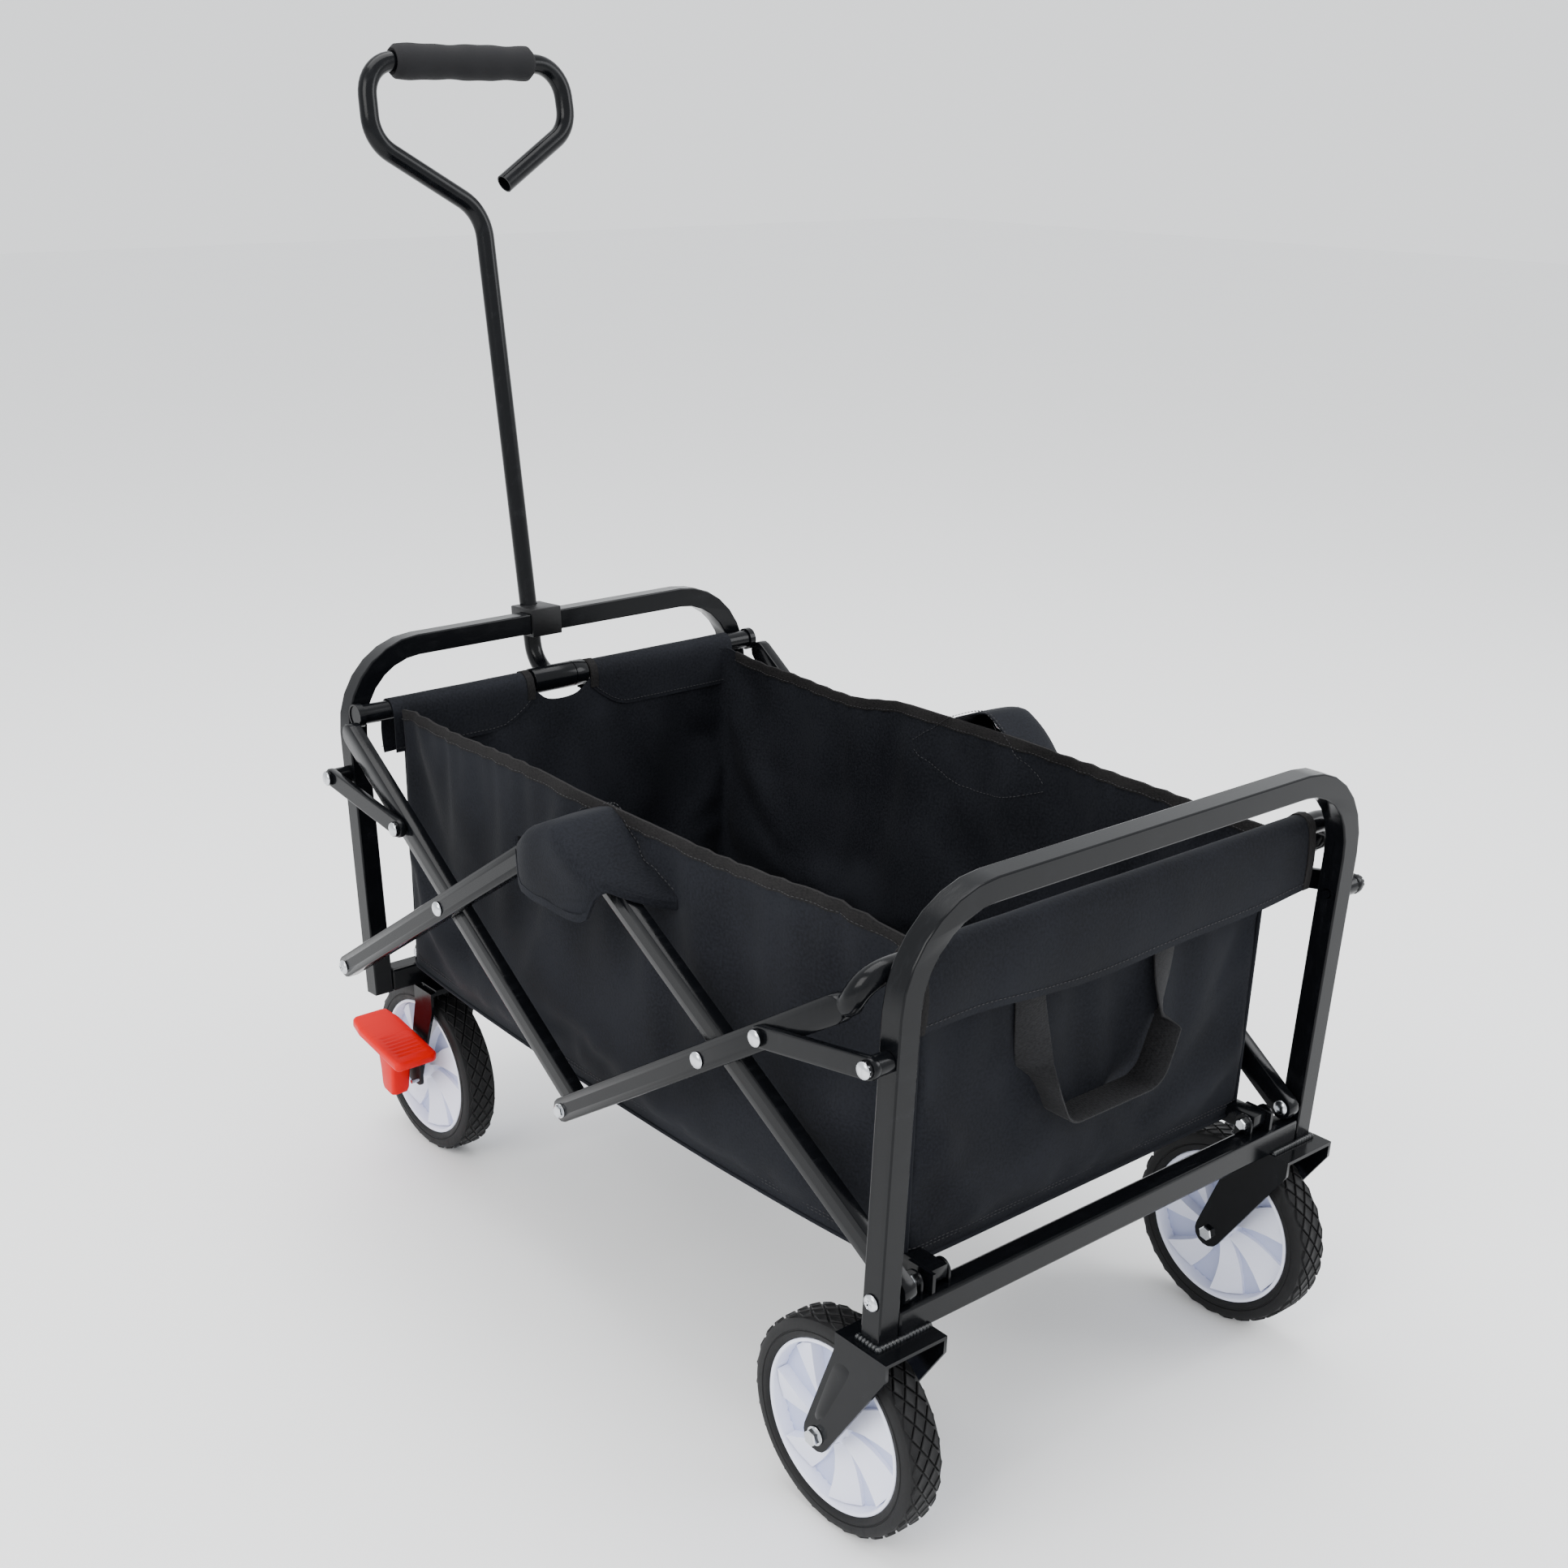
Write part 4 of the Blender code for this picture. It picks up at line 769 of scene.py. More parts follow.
def rim(prefix):
    """A lip, a hub, seven spokes and the web behind them."""
    node = prefix + "_rim"
    at, hub, body = middle(node), half_size(node).x, NODE_BODY[node]
    ring = turned("ring", mirrored(RIM_LIP), at, 96)
    boss_half = [(hub, 0.0050), (hub, 0.0088), (hub - 0.0010, 0.0100), (hub - 0.0052, 0.0104),
                 (0.0116, 0.0128), (0.0108, HUB_R), (0.0, HUB_R)]
    boss = turned("boss", mirrored(boss_half, 1), at, 40)
    disc = grown(spoke_sector("disc", at), round_axle, Count=SPOKES, Axle=tuple(at), Finish=RIM_PLASTIC)
    made = joined(node + "_spoked", [ring, boss, disc])
    finished(made, RIM_PLASTIC, body, "wheel_plastic", node, limit=14.0)
    # The web behind the spokes is in the darker plastic, as painted shade in the recesses.
    finished(turned(prefix + "_web", mirrored(WEB_HALF), at, 56), PAINTED_SHADE_PLASTIC, body, "wheel_plastic")
    return made


for prefix in WHEELS:
    made = rim(prefix)
print("rim faces:", len(made.data.polygons))

# %% [markdown]
# The pull handle is one bent tube. Its foot is flattened onto a sleeve that
# turns on the front rail, and its hook ends in an open mouth. The path's
# corners are the solid's own, rounded here with more steps, and a swept section
# follows it, because a curve's bevel can't be flattened at one end only.

# %% Pull handle
LEAN = math.radians(9.1)
HANDLE_X, HANDLE_R, RISE = -0.012, 0.0085, 0.490
COLLAR = Vector((HANDLE_X, MIDDLE_Y + 0.40646, 0.534))
SLEEVE_HALF = 0.031
ROD_CORNERS = ((0, -0.066), (0, RISE - 0.128), (-0.106, RISE - 0.066), (-0.104, RISE), (0.104, RISE),
               (0.106, RISE - 0.056), (0.028, RISE - 0.104))
ROD_BENDS = (0.030, 0.040, 0.034, 0.030, 0.030, 0.030)


def rod_point(x, along):
    """A point in the handle's plane: x to the right, along up the rod from the collar."""
    return COLLAR + Vector((x, along * math.sin(LEAN), along * math.cos(LEAN)))


def rounded(corners, radii, steps=10):
    """A path with a round bend at each inner corner."""
    corners = [Vector(p) for p in corners]
    points = [corners[0]]
    for before, corner, after, radius in zip(corners, corners[1:], corners[2:], radii):
        a, b = (before - corner).normalized(), (after - corner).normalized()
        half = a.angle(b) / 2
        centre = corner + (a + b).normalized() * radius / math.sin(half)
        start = corner + a * radius / math.tan(half) - centre
        stop = corner + b * radius / math.tan(half) - centre
        sweep = start.angle(stop)
        for i in range(steps + 1):
            mix = start * math.sin((1 - i / steps) * sweep) + stop * math.sin(i / steps * sweep)
            points.append(centre + mix / math.sin(sweep))
    points.append(corners[-1])
    return points


foot = Vector((HANDLE_X, FRONT_RAIL.y, FRONT_RAIL.z))
path = rounded([foot] + [rod_point(x, along) for x, along in ROD_CORNERS], ROD_BENDS)
start_at = next(i for i, p in enumerate(path) if (p - foot).length > 0.006)
path = [foot + (path[start_at] - foot) * 0.35] + path[start_at:]
flattened = []
for point in path:
    near = max(0.0, 1 - (point - foot).length / 0.040)
    flattened.append((1 + 0.55 * near ** 1.5, 1 - 0.45 * near ** 1.5))
rod = swept("rod", path, HANDLE_R, 28, flattened, hollow=0.0013)
sleeve = [(x, RAIL_R + rise) for x, rise in (
    (-SLEEVE_HALF, 0.0008), (-SLEEVE_HALF, 0.0030), (-SLEEVE_HALF + 0.0006, 0.0035), (0.0160, 0.0035),
    (0.0163, 0.0028), (0.0170, 0.0028), (0.0173, 0.0035), (SLEEVE_HALF - 0.0006, 0.0035),
    (SLEEVE_HALF, 0.0030), (SLEEVE_HALF, 0.0008))]
collar = turned("collar", sleeve, foot, 32)
finished(joined("handle_tube_bent", [rod, collar]), PAINT, "handle", "frame_paint", "handle_tube", limit=40.0)
print("handle path points:", len(path))

# %% [markdown]
# The grip is a foam tube pushed over the rod: a little thicker in the middle,
# uneven along its length, and rolled in at both cut ends. It is one turned
# profile, since foam hides any seam.

# %% Foam grip
GRIP_STATIONS = 36
END_ROLL = 0.004
half, thick = half_size("handle_grip").x, half_size("handle_grip").z
profile = [(-half + 0.001, HANDLE_R + 0.0002)]
for i in range(GRIP_STATIONS + 1):
    x = -half + 2 * half * i / GRIP_STATIONS
    rolled = 1 - min(1.0, (half - abs(x)) / END_ROLL)
    swell = 0.0004 * math.sin(x * 95.0) + 0.0003 * math.sin(x * 210.0 + 1.0)
    profile.append((x, thick - 0.0006 + swell - 0.0032 * rolled ** 2))
profile.append((half - 0.001, HANDLE_R + 0.0002))
grip = turned("foam_grip", profile, middle("handle_grip"), 40)
finished(grip, FOAM, "handle", "grip_foam", "handle_grip", limit=60.0)
print("grip length", round(2 * half, 3))

# %% [markdown]
# The hem rails are round tubes. The front one is straight between the legs, and
# the rear one is bent forward at both ends and plugged into the scissor bars.
# Both are swept, and the rear one's bends are drawn as smooth curves between
# straight lines.

# %% Hem rails
SLOPE = math.radians(33.5)
low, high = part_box("front_top_rail")
rail_path = [Vector((low.x + (high.x - low.x) * i / 12, FRONT_RAIL.y, FRONT_RAIL.z)) for i in range(13)]
front_rail = swept("front_rail_tube", rail_path, RAIL_R, 28)
finished(front_rail, PAINT, "front_frame", "frame_paint", "front_top_rail")
uphill = Vector((0, -math.cos(SLOPE), math.sin(SLOPE)))
first = Vector((OUTER_PLANE, MIDDLE_Y - 0.36424, TOP_PIVOT_Z)) - uphill * 0.0357
leaving = first + uphill * 0.004
corner = Vector((OUTER_PLANE, REAR_RAIL.y, REAR_RAIL.z))
inside = corner - Vector((0.026, 0, 0))
bend = [first] + [leaving.lerp(corner, i / 10).lerp(corner.lerp(inside, i / 10), i / 10) for i in range(11)]
straight = [inside.lerp(Vector((-inside.x, inside.y, inside.z)), i / 12) for i in range(1, 12)]
other = [Vector((-p.x, p.y, p.z)) for p in reversed(bend)]
rear_rail = swept("rear_rail_tube", bend + straight + other, RAIL_R, 28)
finished(rear_rail, PAINT, "rear_high_bars", "frame_paint", "rear_top_rail")
print("rear rail path points:", len(bend + straight + other))

# %% [markdown]
# Pedals, cloth, tapes and ribs have no axis to turn about. They are a skin
# over rings of points, which may change in size and shape from one to the
# next. The skin's UV map holds metres, which the woven finishes need.

# %% A skin over rings of points
SECTION_STEPS = 3


def lofted(name, rings, closed=True):
    """Skin over rings of points with a UV map in metres. Closed rings get end caps."""
    count = len(rings[0])
    points = [p for ring in rings for p in ring]
    faces, spans = [], count if closed else count - 1
    for i in range(len(rings) - 1):
        for k in range(spans):
            a, b = i * count + k, i * count + (k + 1) % count
            faces.append((a, b, b + count, a + count))
    if closed:
        faces += [tuple(reversed(range(count))), tuple(range(len(points) - count, len(points)))]
    obj = plain_mesh(name, points, faces)
    down = [0.0]
    for before, after in zip(rings, rings[1:]):
        down.append(down[-1] + (Vector(after[count // 2]) - Vector(before[count // 2])).length)
    across = []
    for ring in rings:
        row = [0.0]
        for k in range(count):
            row.append(row[-1] + (Vector(ring[(k + 1) % count]) - Vector(ring[k])).length)
        across.append(row)
    layer = obj.data.uv_layers.new(name="cloth")
    for face in obj.data.polygons:
        ids = [obj.data.loops[i].vertex_index for i in face.loop_indices]
        columns = {v % count for v in ids}
        wraps = len(ids) == 4 and {0, count - 1} <= columns
        for loop, vertex in zip(face.loop_indices, ids):
            ring, k = divmod(vertex, count)
            layer.data[loop].uv = (across[ring][count if wraps and k == 0 else k], down[ring])
    return obj


def rounded_section(half_x, half_z, corner):
    """A rectangle with rounded corners, as (x, z) points."""
    section = []
    for turn_from, sx, sz in ((0, 1, 1), (90, -1, 1), (180, -1, -1), (270, 1, -1)):
        for i in range(SECTION_STEPS + 1):
            turn_by = math.radians(turn_from + 90 * i / SECTION_STEPS)
            section.append((sx * (half_x - corner) + corner * math.cos(turn_by),
                            sz * (half_z - corner) + corner * math.sin(turn_by)))
    return section


print("a rounded section has", len(rounded_section(1, 1, 0.1)), "points")

# %% [markdown]
# A brake pedal is one red moulding: a rounded plate with short grooves under
# the toe, and a tapered lever below it. Cutting the grooves with a boolean
# would leave rough edges, so the plate is a skin over rounded sections, and the
# grooves are dips in their top. A black latch with a zinc pin sits between the
# lever and the wheel.

# %% Brake pedals
PEDAL_TILT = Matrix.Rotation(math.radians(9.0), 4, "X")
PLATE_HALF, PLATE_THICK = 0.0485, 0.0052
PLATE_RISE, PLATE_STATIONS = 0.032, 60
GROOVE_DEEP, GROOVE_PITCH = 0.0011, 0.0058
LEVER_LEVELS = ((0, 0.0125, 0.0170, 0.004), (0.25, 0.0115, 0.0150, 0.003), (0.6, 0.0105, 0.0125, 0.0),
                (0.9, 0.0100, 0.0112, -0.002), (0.98, 0.0092, 0.0100, -0.002),
                (1.0, 0.0070, 0.0080, -0.002))
LATCH_LEVELS = ((-1, 0.010, 0.013), (-0.8, 0.0115, 0.0145), (0.8, 0.0115, 0.0145), (1, 0.010, 0.013))
LATCH_PIN = [(-0.006, 0), (-0.006, 0.0022), (0.006, 0.0022), (0.0068, 0.0015), (0.0068, 0)]


def pedal_plate(hinge, wide):
    """The rounded plate: narrower at its ends and towards the toe, with grooves in its top."""
    rings = []
    for i in range(PLATE_STATIONS + 1):
        t = -1 + 2 * i / PLATE_STATIONS
        y = PLATE_HALF * t
        ends = max(0.0, (abs(t) - 0.90) / 0.10)
        half_x = wide * (1 - 0.22 * ends ** 2.2) - (0.004 if t > 0.55 else 0.0) * (t - 0.55) / 0.45
        half_z = PLATE_THICK * (1 - 0.35 * ends ** 3)
        wave = max(0.0, math.cos(2 * math.pi * (y + 0.0015) / GROOVE_PITCH))
        dip = half_z - (GROOVE_DEEP * wave if -0.040 < y < 0.0005 else 0.0)
        top = [(half_x * 0.66, half_z), (half_x * 0.60, dip), (-half_x * 0.60, dip), (-half_x * 0.66, half_z)]
        ring = rounded_section(half_x, half_z, 0.0030)
        ring[SECTION_STEPS + 1:SECTION_STEPS + 1] = top
        rings.append([hinge + PEDAL_TILT @ Vector((px, y, PLATE_RISE + pz)) for px, pz in ring])
    return lofted("plate", rings)


def pedal(side, tag):
    """A pedal with its lever, and the latch and pin behind it."""
    node = "brake_pedal_" + tag
    hinge = Vector((middle(node).x, MIDDLE_Y + 0.37074, 0.101))
    plate = pedal_plate(hinge, half_size(node).x)
    rings = []
    for t, half_x, half_y, forward in reversed(LEVER_LEVELS):
        outline = rounded_section(half_x, half_y, 0.0035)
        rings.append([hinge + PEDAL_TILT @ Vector((px - side * 0.004, forward + py, 0.029 - t * 0.058))
                      for px, py in outline])
    made = joined("pedal_" + tag, [plate, lofted("lever", rings)])
    finished(made, RED_PLASTIC, "brake_" + tag, "pedal_plastic", node, limit=40.0)
    rings = []
    for t, half_y, half_z in LATCH_LEVELS:
        rings.append([Vector((side * 0.1945 + t * 0.0022, hinge.y - 0.012 + py, 0.096 + pz))
                      for py, pz in rounded_section(half_y, half_z, 0.004)])
    finished(lofted("brake_latch_" + tag, rings), BLACK_PLASTIC, "caster_" + tag, "pedal_plastic")
    pin = turned("brake_pin_" + tag, LATCH_PIN, Vector((side * 0.199, hinge.y - 0.020, 0.088)), 16)
    finished(pin, ZINC, "caster_" + tag, "zinc_hardware")


for side, tag in SIDES:
    pedal(side, tag)
print("brake pedals made")

# %% [markdown]
# The tub is one wall of cut polyester that runs round all four sides. It hangs
# from the two hem rails and stands on the floor boards, and its sides bulge a
# little between their corners. Folds could be drawn by hand, but a cloth
# simulation gives the wall its own slack: it is held at the hems, corners,
# bottom and pouches, and sags in between.

# %% Plan of the tub wall
REAR_WALL_Y = REAR_RAIL.y + RAIL_R + 0.0015
FRONT_WALL_Y = FRONT_RAIL.y - RAIL_R - 0.0015
CORNER_X, BULGE, CORNER_R = 0.1955, 0.0135, 0.012
ROWS, ACROSS, ALONG = 22, 32, 56
BOTTOM_EDGE, HEMS_TOP = 0.2175, 0.4695
TOP_EDGE = {
    1: ((-0.40, 0.468), (-0.29, 0.466), (-0.08, 0.467), (0.05, 0.465), (0.13, 0.456), (0.24, 0.461),
        (0.33, 0.468)),
    -1: ((-0.40, 0.473), (-0.296, 0.484), (-0.19, 0.480), (-0.07, 0.480), (0.09, 0.483), (0.26, 0.478),
         (0.33, 0.470))}


def from_table(table, at):
    """A smooth value between a table's neighbouring entries."""
    for (x0, v0), (x1, v1) in zip(table, table[1:]):
        if at <= x1:
            share = max(0.0, (at - x0) / (x1 - x0))
            return v0 + (v1 - v0) * share * share * (3 - 2 * share)
    return table[-1][1]


def bulged(y):
    """Half the tub's width at y."""
    share = (y - (REAR_WALL_Y + FRONT_WALL_Y) / 2) / ((FRONT_WALL_Y - REAR_WALL_Y) / 2)
    return CORNER_X + BULGE * (1 - abs(share) ** 2.6)


def wall_plan():
    """Columns round the tub: (x, y, top height, wall). 0 is rear, 1 right, 2 front, -1 left, 3 a corner."""
    wide, deep = CORNER_X - CORNER_R, FRONT_WALL_Y - REAR_WALL_Y - 2 * CORNER_R

    def corner(cx, cy, first):
        """Two columns on a round corner, from an angle in degrees."""
        turns = [math.radians(first + 30 * i) for i in (1, 2)]
        return [(cx + CORNER_R * math.cos(t), cy + CORNER_R * math.sin(t), HEMS_TOP, 3) for t in turns]

    plan = [(-wide + 2 * wide * i / ACROSS, REAR_WALL_Y, HEMS_TOP, 0) for i in range(ACROSS + 1)]
    plan += corner(wide, REAR_WALL_Y + CORNER_R, -90)
    for i in range(ALONG + 1):
        y = REAR_WALL_Y + CORNER_R + deep * i / ALONG
        plan.append((bulged(y), y, from_table(TOP_EDGE[1], y), 1))
    plan += corner(wide, FRONT_WALL_Y - CORNER_R, 0)
    for i in range(ACROSS + 1):
        x = wide - 2 * wide * i / ACROSS
        opened = max(0.0, 1 - (abs(x - HANDLE_X + 0.001) / 0.034) ** 4)
        plan.append((x, FRONT_WALL_Y, HEMS_TOP - 0.018 * opened, 2))
    plan += corner(-wide, FRONT_WALL_Y - CORNER_R, 90)
    for i in range(ALONG + 1):
        y = FRONT_WALL_Y - CORNER_R - deep * i / ALONG
        plan.append((-bulged(y), y, from_table(TOP_EDGE[-1], y), -1))
    return plan + corner(-wide, REAR_WALL_Y + CORNER_R, 180)


def crumple(point, size, depth):
    """A small repeatable offset from layered noise."""
    return (noise.noise(Vector(point) * size) + 0.5 * noise.noise(Vector(point) * size * 2.1)) * depth


PLAN = wall_plan()
WALL = []
for x, y, top, wall in PLAN:
    column = []
    outward = Vector((x, 0, 0)).normalized() if wall in (1, -1) else Vector((0, y, 0)).normalized()
    for row in range(ROWS + 1):
        share = row / ROWS
        z = BOTTOM_EDGE + (top - BOTTOM_EDGE) * share
        free = math.sin(math.pi * share) if wall in (0, 2) else 0.5 * share
        slack = crumple((x, y, z * 0.7), 9.0, 0.0032) * min(1, free + 0.1)
        column.append(Vector((x, y, z)) + outward * slack * (0 if wall == 3 else 1))
    WALL.append(column)
print("wall columns", len(WALL), "of", ROWS + 1, "points")

# %% [markdown]
# The simulation runs for 24 frames, which is long enough for the wall to sag.
# A point may move 9 mm at most, so that no fold can reach the frame.

# %% Hang the wall
FRAMES, MOST_MOVE = 24, 0.009


def hung(columns, pinned):
    """The columns' points after they hang under gravity, held where pinned(column, row) says so."""
    count, rows = len(columns), len(columns[0])
    points = [p for column in columns for p in column]
    faces = []
    for c in range(count):
        here, there = c * rows, (c + 1) % count * rows
        faces += [(here + r, there + r, there + r + 1, here + r + 1) for r in range(rows - 1)]
    obj = plain_mesh("hanging", points, faces)
    held = obj.vertex_groups.new(name="held")
    for c in range(count):
        for r in range(rows):
            held.add([c * rows + r], pinned(c, r), "REPLACE")
    cloth = obj.modifiers.new("cloth", "CLOTH")
    settings = cloth.settings
    settings.quality, settings.mass = 6, 0.25
    settings.tension_stiffness = settings.compression_stiffness = 22
    settings.shear_stiffness, settings.bending_stiffness = 12, 1.6
    settings.vertex_group_mass = "held"
    settings.shrink_min = -0.022
    settings.air_damping = 3.0
    cloth.collision_settings.use_self_collision = False
    cloth.point_cache.frame_start, cloth.point_cache.frame_end = 1, FRAMES
    for at in range(1, FRAMES + 1):
        bpy.context.scene.frame_set(at)
    result = obj.evaluated_get(bpy.context.evaluated_depsgraph_get()).data
    settled = []
    for start, end in zip(points, result.vertices):
        move = end.co - start
        settled.append(start + move * min(1.0, MOST_MOVE / max(move.length, 0.000001)))
    bpy.context.scene.frame_set(1)
    bpy.data.objects.remove(obj)
    return [settled[c * rows:(c + 1) * rows] for c in range(count)]


def wall_pins(c, r):
    """How firmly a point is held, from 0 to 1."""
    y, wall = PLAN[c][1], PLAN[c][3]
    if r <= 1 or wall == 3 or (wall in (0, 2) and r >= ROWS - 3):
        return 1.0
    if r == ROWS:
        by_end = min(abs(y - REAR_WALL_Y), abs(y - FRONT_WALL_Y)) < 0.03
        return 1.0 if abs(y - MIDDLE_Y) < 0.09 or by_end else 0.85
    return 0.0


WALL = hung(WALL, wall_pins)
print("widest half", round(max(abs(p.x) for column in WALL for p in column), 4))

# %% [markdown]
# A cloth piece is a grid of points that is subdivided once and given its real
# thickness. Its UV map holds metres of cloth. The same helper makes the wall,
# the sleeves over the rails and the pouches.

# %% Tub wall
CLOTH_THICK = 0.0012


def cloth_piece(name, grid, thick, closed=False):
    """A smooth sheet from a grid of points, with thickness. Closed joins its last row to its first."""
    rings = [list(ring) for ring in grid] + ([list(grid[0])] if closed else [])
    obj = lofted(name, rings, closed=False)
    if closed:
        shape = bmesh.new()
        shape.from_mesh(obj.data)
        bmesh.ops.remove_doubles(shape, verts=shape.verts, dist=0.00001)
        shape.to_mesh(obj.data)
        shape.free()
    smooth = obj.modifiers.new("smooth", "SUBSURF")
    smooth.levels = smooth.render_levels = 1
    smooth.boundary_smooth = "PRESERVE_CORNERS"
    shell = obj.modifiers.new("thick", "SOLIDIFY")
    shell.thickness, shell.offset = thick, 0.0
    return applied(obj)


def folded_with_tub(obj):
    """A soft piece of the walls, given its own copy of its mesh."""
    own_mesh(obj)
    return obj


def tub_piece(obj, finish, limit, *nodes):
    """A finished soft piece of the walls."""
    return folded_with_tub(finished(obj, finish, "rear_frame", "tub_fabric", *nodes, limit=limit))


wall = tub_piece(cloth_piece("tub_wall", WALL, CLOTH_THICK, closed=True), CLOTH, 70.0,
                 "tub_side_left", "tub_side_right", "tub_end_rear", "tub_end_front")

# %% [markdown]
# Tapes, hems and seams follow the settled wall, so their lines are read from
# its columns. Projecting them onto the mesh would work too, but the columns
# already say where the wall is and which way is out.

# %% Lines on the wall
RIGHT_FROM = ACROSS + 3
LEFT_FROM = RIGHT_FROM + ALONG + 1 + 2 + ACROSS + 1 + 2
SIDE_COLUMNS = {1: range(RIGHT_FROM, RIGHT_FROM + ALONG + 1), -1: range(LEFT_FROM, LEFT_FROM + ALONG + 1)}


def outward_at(c):
    """The horizontal normal of the wall at a column."""
    way = WALL[(c + 1) % len(WALL)][ROWS // 2] - WALL[c - 1][ROWS // 2]
    return Vector((way.y, -way.x, 0)).normalized()


def ribbon(name, spine, section):
    """Section (out, up) points moved along a spine of (point, out, up) frames, capped at both ends."""
    return lofted(name, [[p + out * a + up * b for a, b in section] for p, out, up in spine])


def wall_line(columns, below_top=None, height=None, off=0.0011):
    """Points just outside the wall: at a height, or a distance below the top edge."""
    line_points = []
    for c in columns:
        column = WALL[c]
        z = column[ROWS].z - below_top if height is None else height
        for r in range(ROWS):
            if column[r + 1].z >= z or r == ROWS - 1:
                share = (z - column[r].z) / max(column[r + 1].z - column[r].z, 0.0001)
                line_points.append(column[r].lerp(column[r + 1], share) + outward_at(c) * off)
                break
    return line_points


print("side columns:", SIDE_COLUMNS)

# %% [markdown]
# The side walls' top edges are bound with a folded tape, stitched down along
# its lower edge. The bottom edge has a piped hem with two rows of stitches,
# and a corded seam runs up each corner. The tape is a section moved along the
# edge, and the piping and the seams are thin swept cords.

# %% Bindings, hems and stitches
FOLDED_TAPE = ((0.0017, -0.0095), (0.0018, -0.0005), (0.0012, 0.0012), (-0.0012, 0.0012), (-0.0018, -0.0005),
               (-0.0017, -0.0095), (-0.0009, -0.0095), (-0.0007, -0.0002), (0.0007, -0.0002),
               (0.0009, -0.0095))
TAPE_STITCH_LOW, TAPE_STITCH_OFF = 0.0078, 0.0019
PIPING_R, SEAM_R = 0.0019, 0.0018
for side, tag in SIDES:
    spine = []
    for c in SIDE_COLUMNS[side]:
        up = (WALL[c][ROWS] - WALL[c][ROWS - 1]).normalized()
        spine.append((WALL[c][ROWS], outward_at(c), up))
    tub_piece(ribbon("top_binding_" + tag, spine, FOLDED_TAPE), TAPE, 50.0)
    lines = [wall_line(SIDE_COLUMNS[side], TAPE_STITCH_LOW, off=face * TAPE_STITCH_OFF) for face in (1, -1)]
    folded_with_tub(stitched("top_stitches_" + tag, lines, "rear_frame"))

every = list(range(len(WALL))) + [0]
cord = [p - Vector((0, 0, 0.0002)) for p in wall_line(every, height=BOTTOM_EDGE + 0.0015, off=0.0004)]
tub_piece(swept("bottom_piping", cord, PIPING_R, 8), CLOTH, 35.0)
hem = [wall_line(every, height=BOTTOM_EDGE + rise) for rise in (0.0105, 0.0135)]
folded_with_tub(stitched("bottom_stitches", hem, "rear_frame"))
CORNERS = (ACROSS + 1, RIGHT_FROM + ALONG + 2, LEFT_FROM - 2, len(WALL) - 1)
for number, c in enumerate(CORNERS):
    seam = [p + outward_at(c) * 0.0010 for p in WALL[c][:ROWS - 1]]
    tub_piece(swept("corner_seam_" + str(number + 1), seam, SEAM_R, 8), CLOTH, 35.0)
print("bindings, hem and corner seams made")

# %% [markdown]
# Each end wall hangs from its rail in a sewn sleeve. The cloth goes up inside,
# over the rail and down outside, and a double line of stitches closes it. The
# rear sleeve has a deep outer flap with bound ends. The front one is cut away
# in the middle, where the handle's collar turns on the rail. A section swept
# along the rail makes both, since a sleeve is the same all along but for its
# edge.

# %% Sleeves over the rails
SLEEVE_THICK = 0.0011
SLEEVE_STEP = 0.012
END_TAPE = ((0.0014, -0.0075), (0.0015, 0.0002), (0.0006, 0.0012), (-0.0006, 0.0012), (-0.0015, 0.0002),
            (-0.0014, -0.0075))


def over_rail(rail, way, x, inner_low, outer_low, ruffle):
    """Section of a sleeve at x: way is +1 where the outside is +Y."""
    r = RAIL_R + 0.0016
    out = [(-(r + 0.0010) * way, z) for z in (
        inner_low, inner_low + (rail.z - inner_low) * 0.5, rail.z - 0.004)]
    for degrees in range(0, 181, 30):
        turn_by = math.radians(degrees)
        out.append((-r * math.cos(turn_by) * way, rail.z + r * math.sin(turn_by)))
    for share in (0.25, 0.5, 0.75, 1.0):
        puff = ruffle * math.sin(math.pi * share) + 0.0012 * share
        out.append(((r + puff) * way, rail.z + (outer_low - rail.z) * share))
    return [Vector((x, rail.y + y + crumple((x, y, z), 30.0, 0.0007), z)) for y, z in out]


def sleeve_piece(name, rail, way, low_x, high_x, inner_low, outer_low, body):
    """A sleeve between two ends, with its stitches. The low edges are functions of x."""
    count = max(12, round((high_x - low_x) / SLEEVE_STEP))
    rings = []
    for i in range(count + 1):
        x = low_x + (high_x - low_x) * i / count
        ruffle = 0.0026 + crumple((x, 0.2, 0.1), 14.0, 0.003)
        rings.append(over_rail(rail, way, x, inner_low(x), outer_low(x) + 0.0015 * math.sin(x * 31), ruffle))
    made = finished(cloth_piece(name, rings, SLEEVE_THICK), CLOTH, body, "tub_fabric", limit=70.0)
    proud = Vector((0, 0.0009 * way, 0))
    low_line = [ring[-1] + (ring[-2] - ring[-1]).normalized() * 0.006 + proud for ring in rings]
    inner_line = [ring[0] - proud + Vector((0, 0, 0.004)) for ring in rings]
    stitched(name + "_stitches", [low_line, inner_line], body)
    return made, rings


def bound_end(name, ring, body, way_x):
    """A folded tape over a sleeve's cut end."""
    spine = []
    for i, point in enumerate(ring):
        along = (ring[min(i + 1, len(ring) - 1)] - ring[max(i - 1, 0)]).normalized()
        spine.append((point, along.cross(Vector((1, 0, 0))).normalized(), Vector((way_x, 0, 0))))
    finished(ribbon(name, spine, END_TAPE), TAPE, body, "tub_fabric", limit=50.0)


def cut_away(x):
    """The front sleeve rises in a curve next to the handle's collar."""
    return 0.4320 + 0.030 * max(0.0, 1 - abs(x - HANDLE_X) / 0.075) ** 1.5 * 2.0


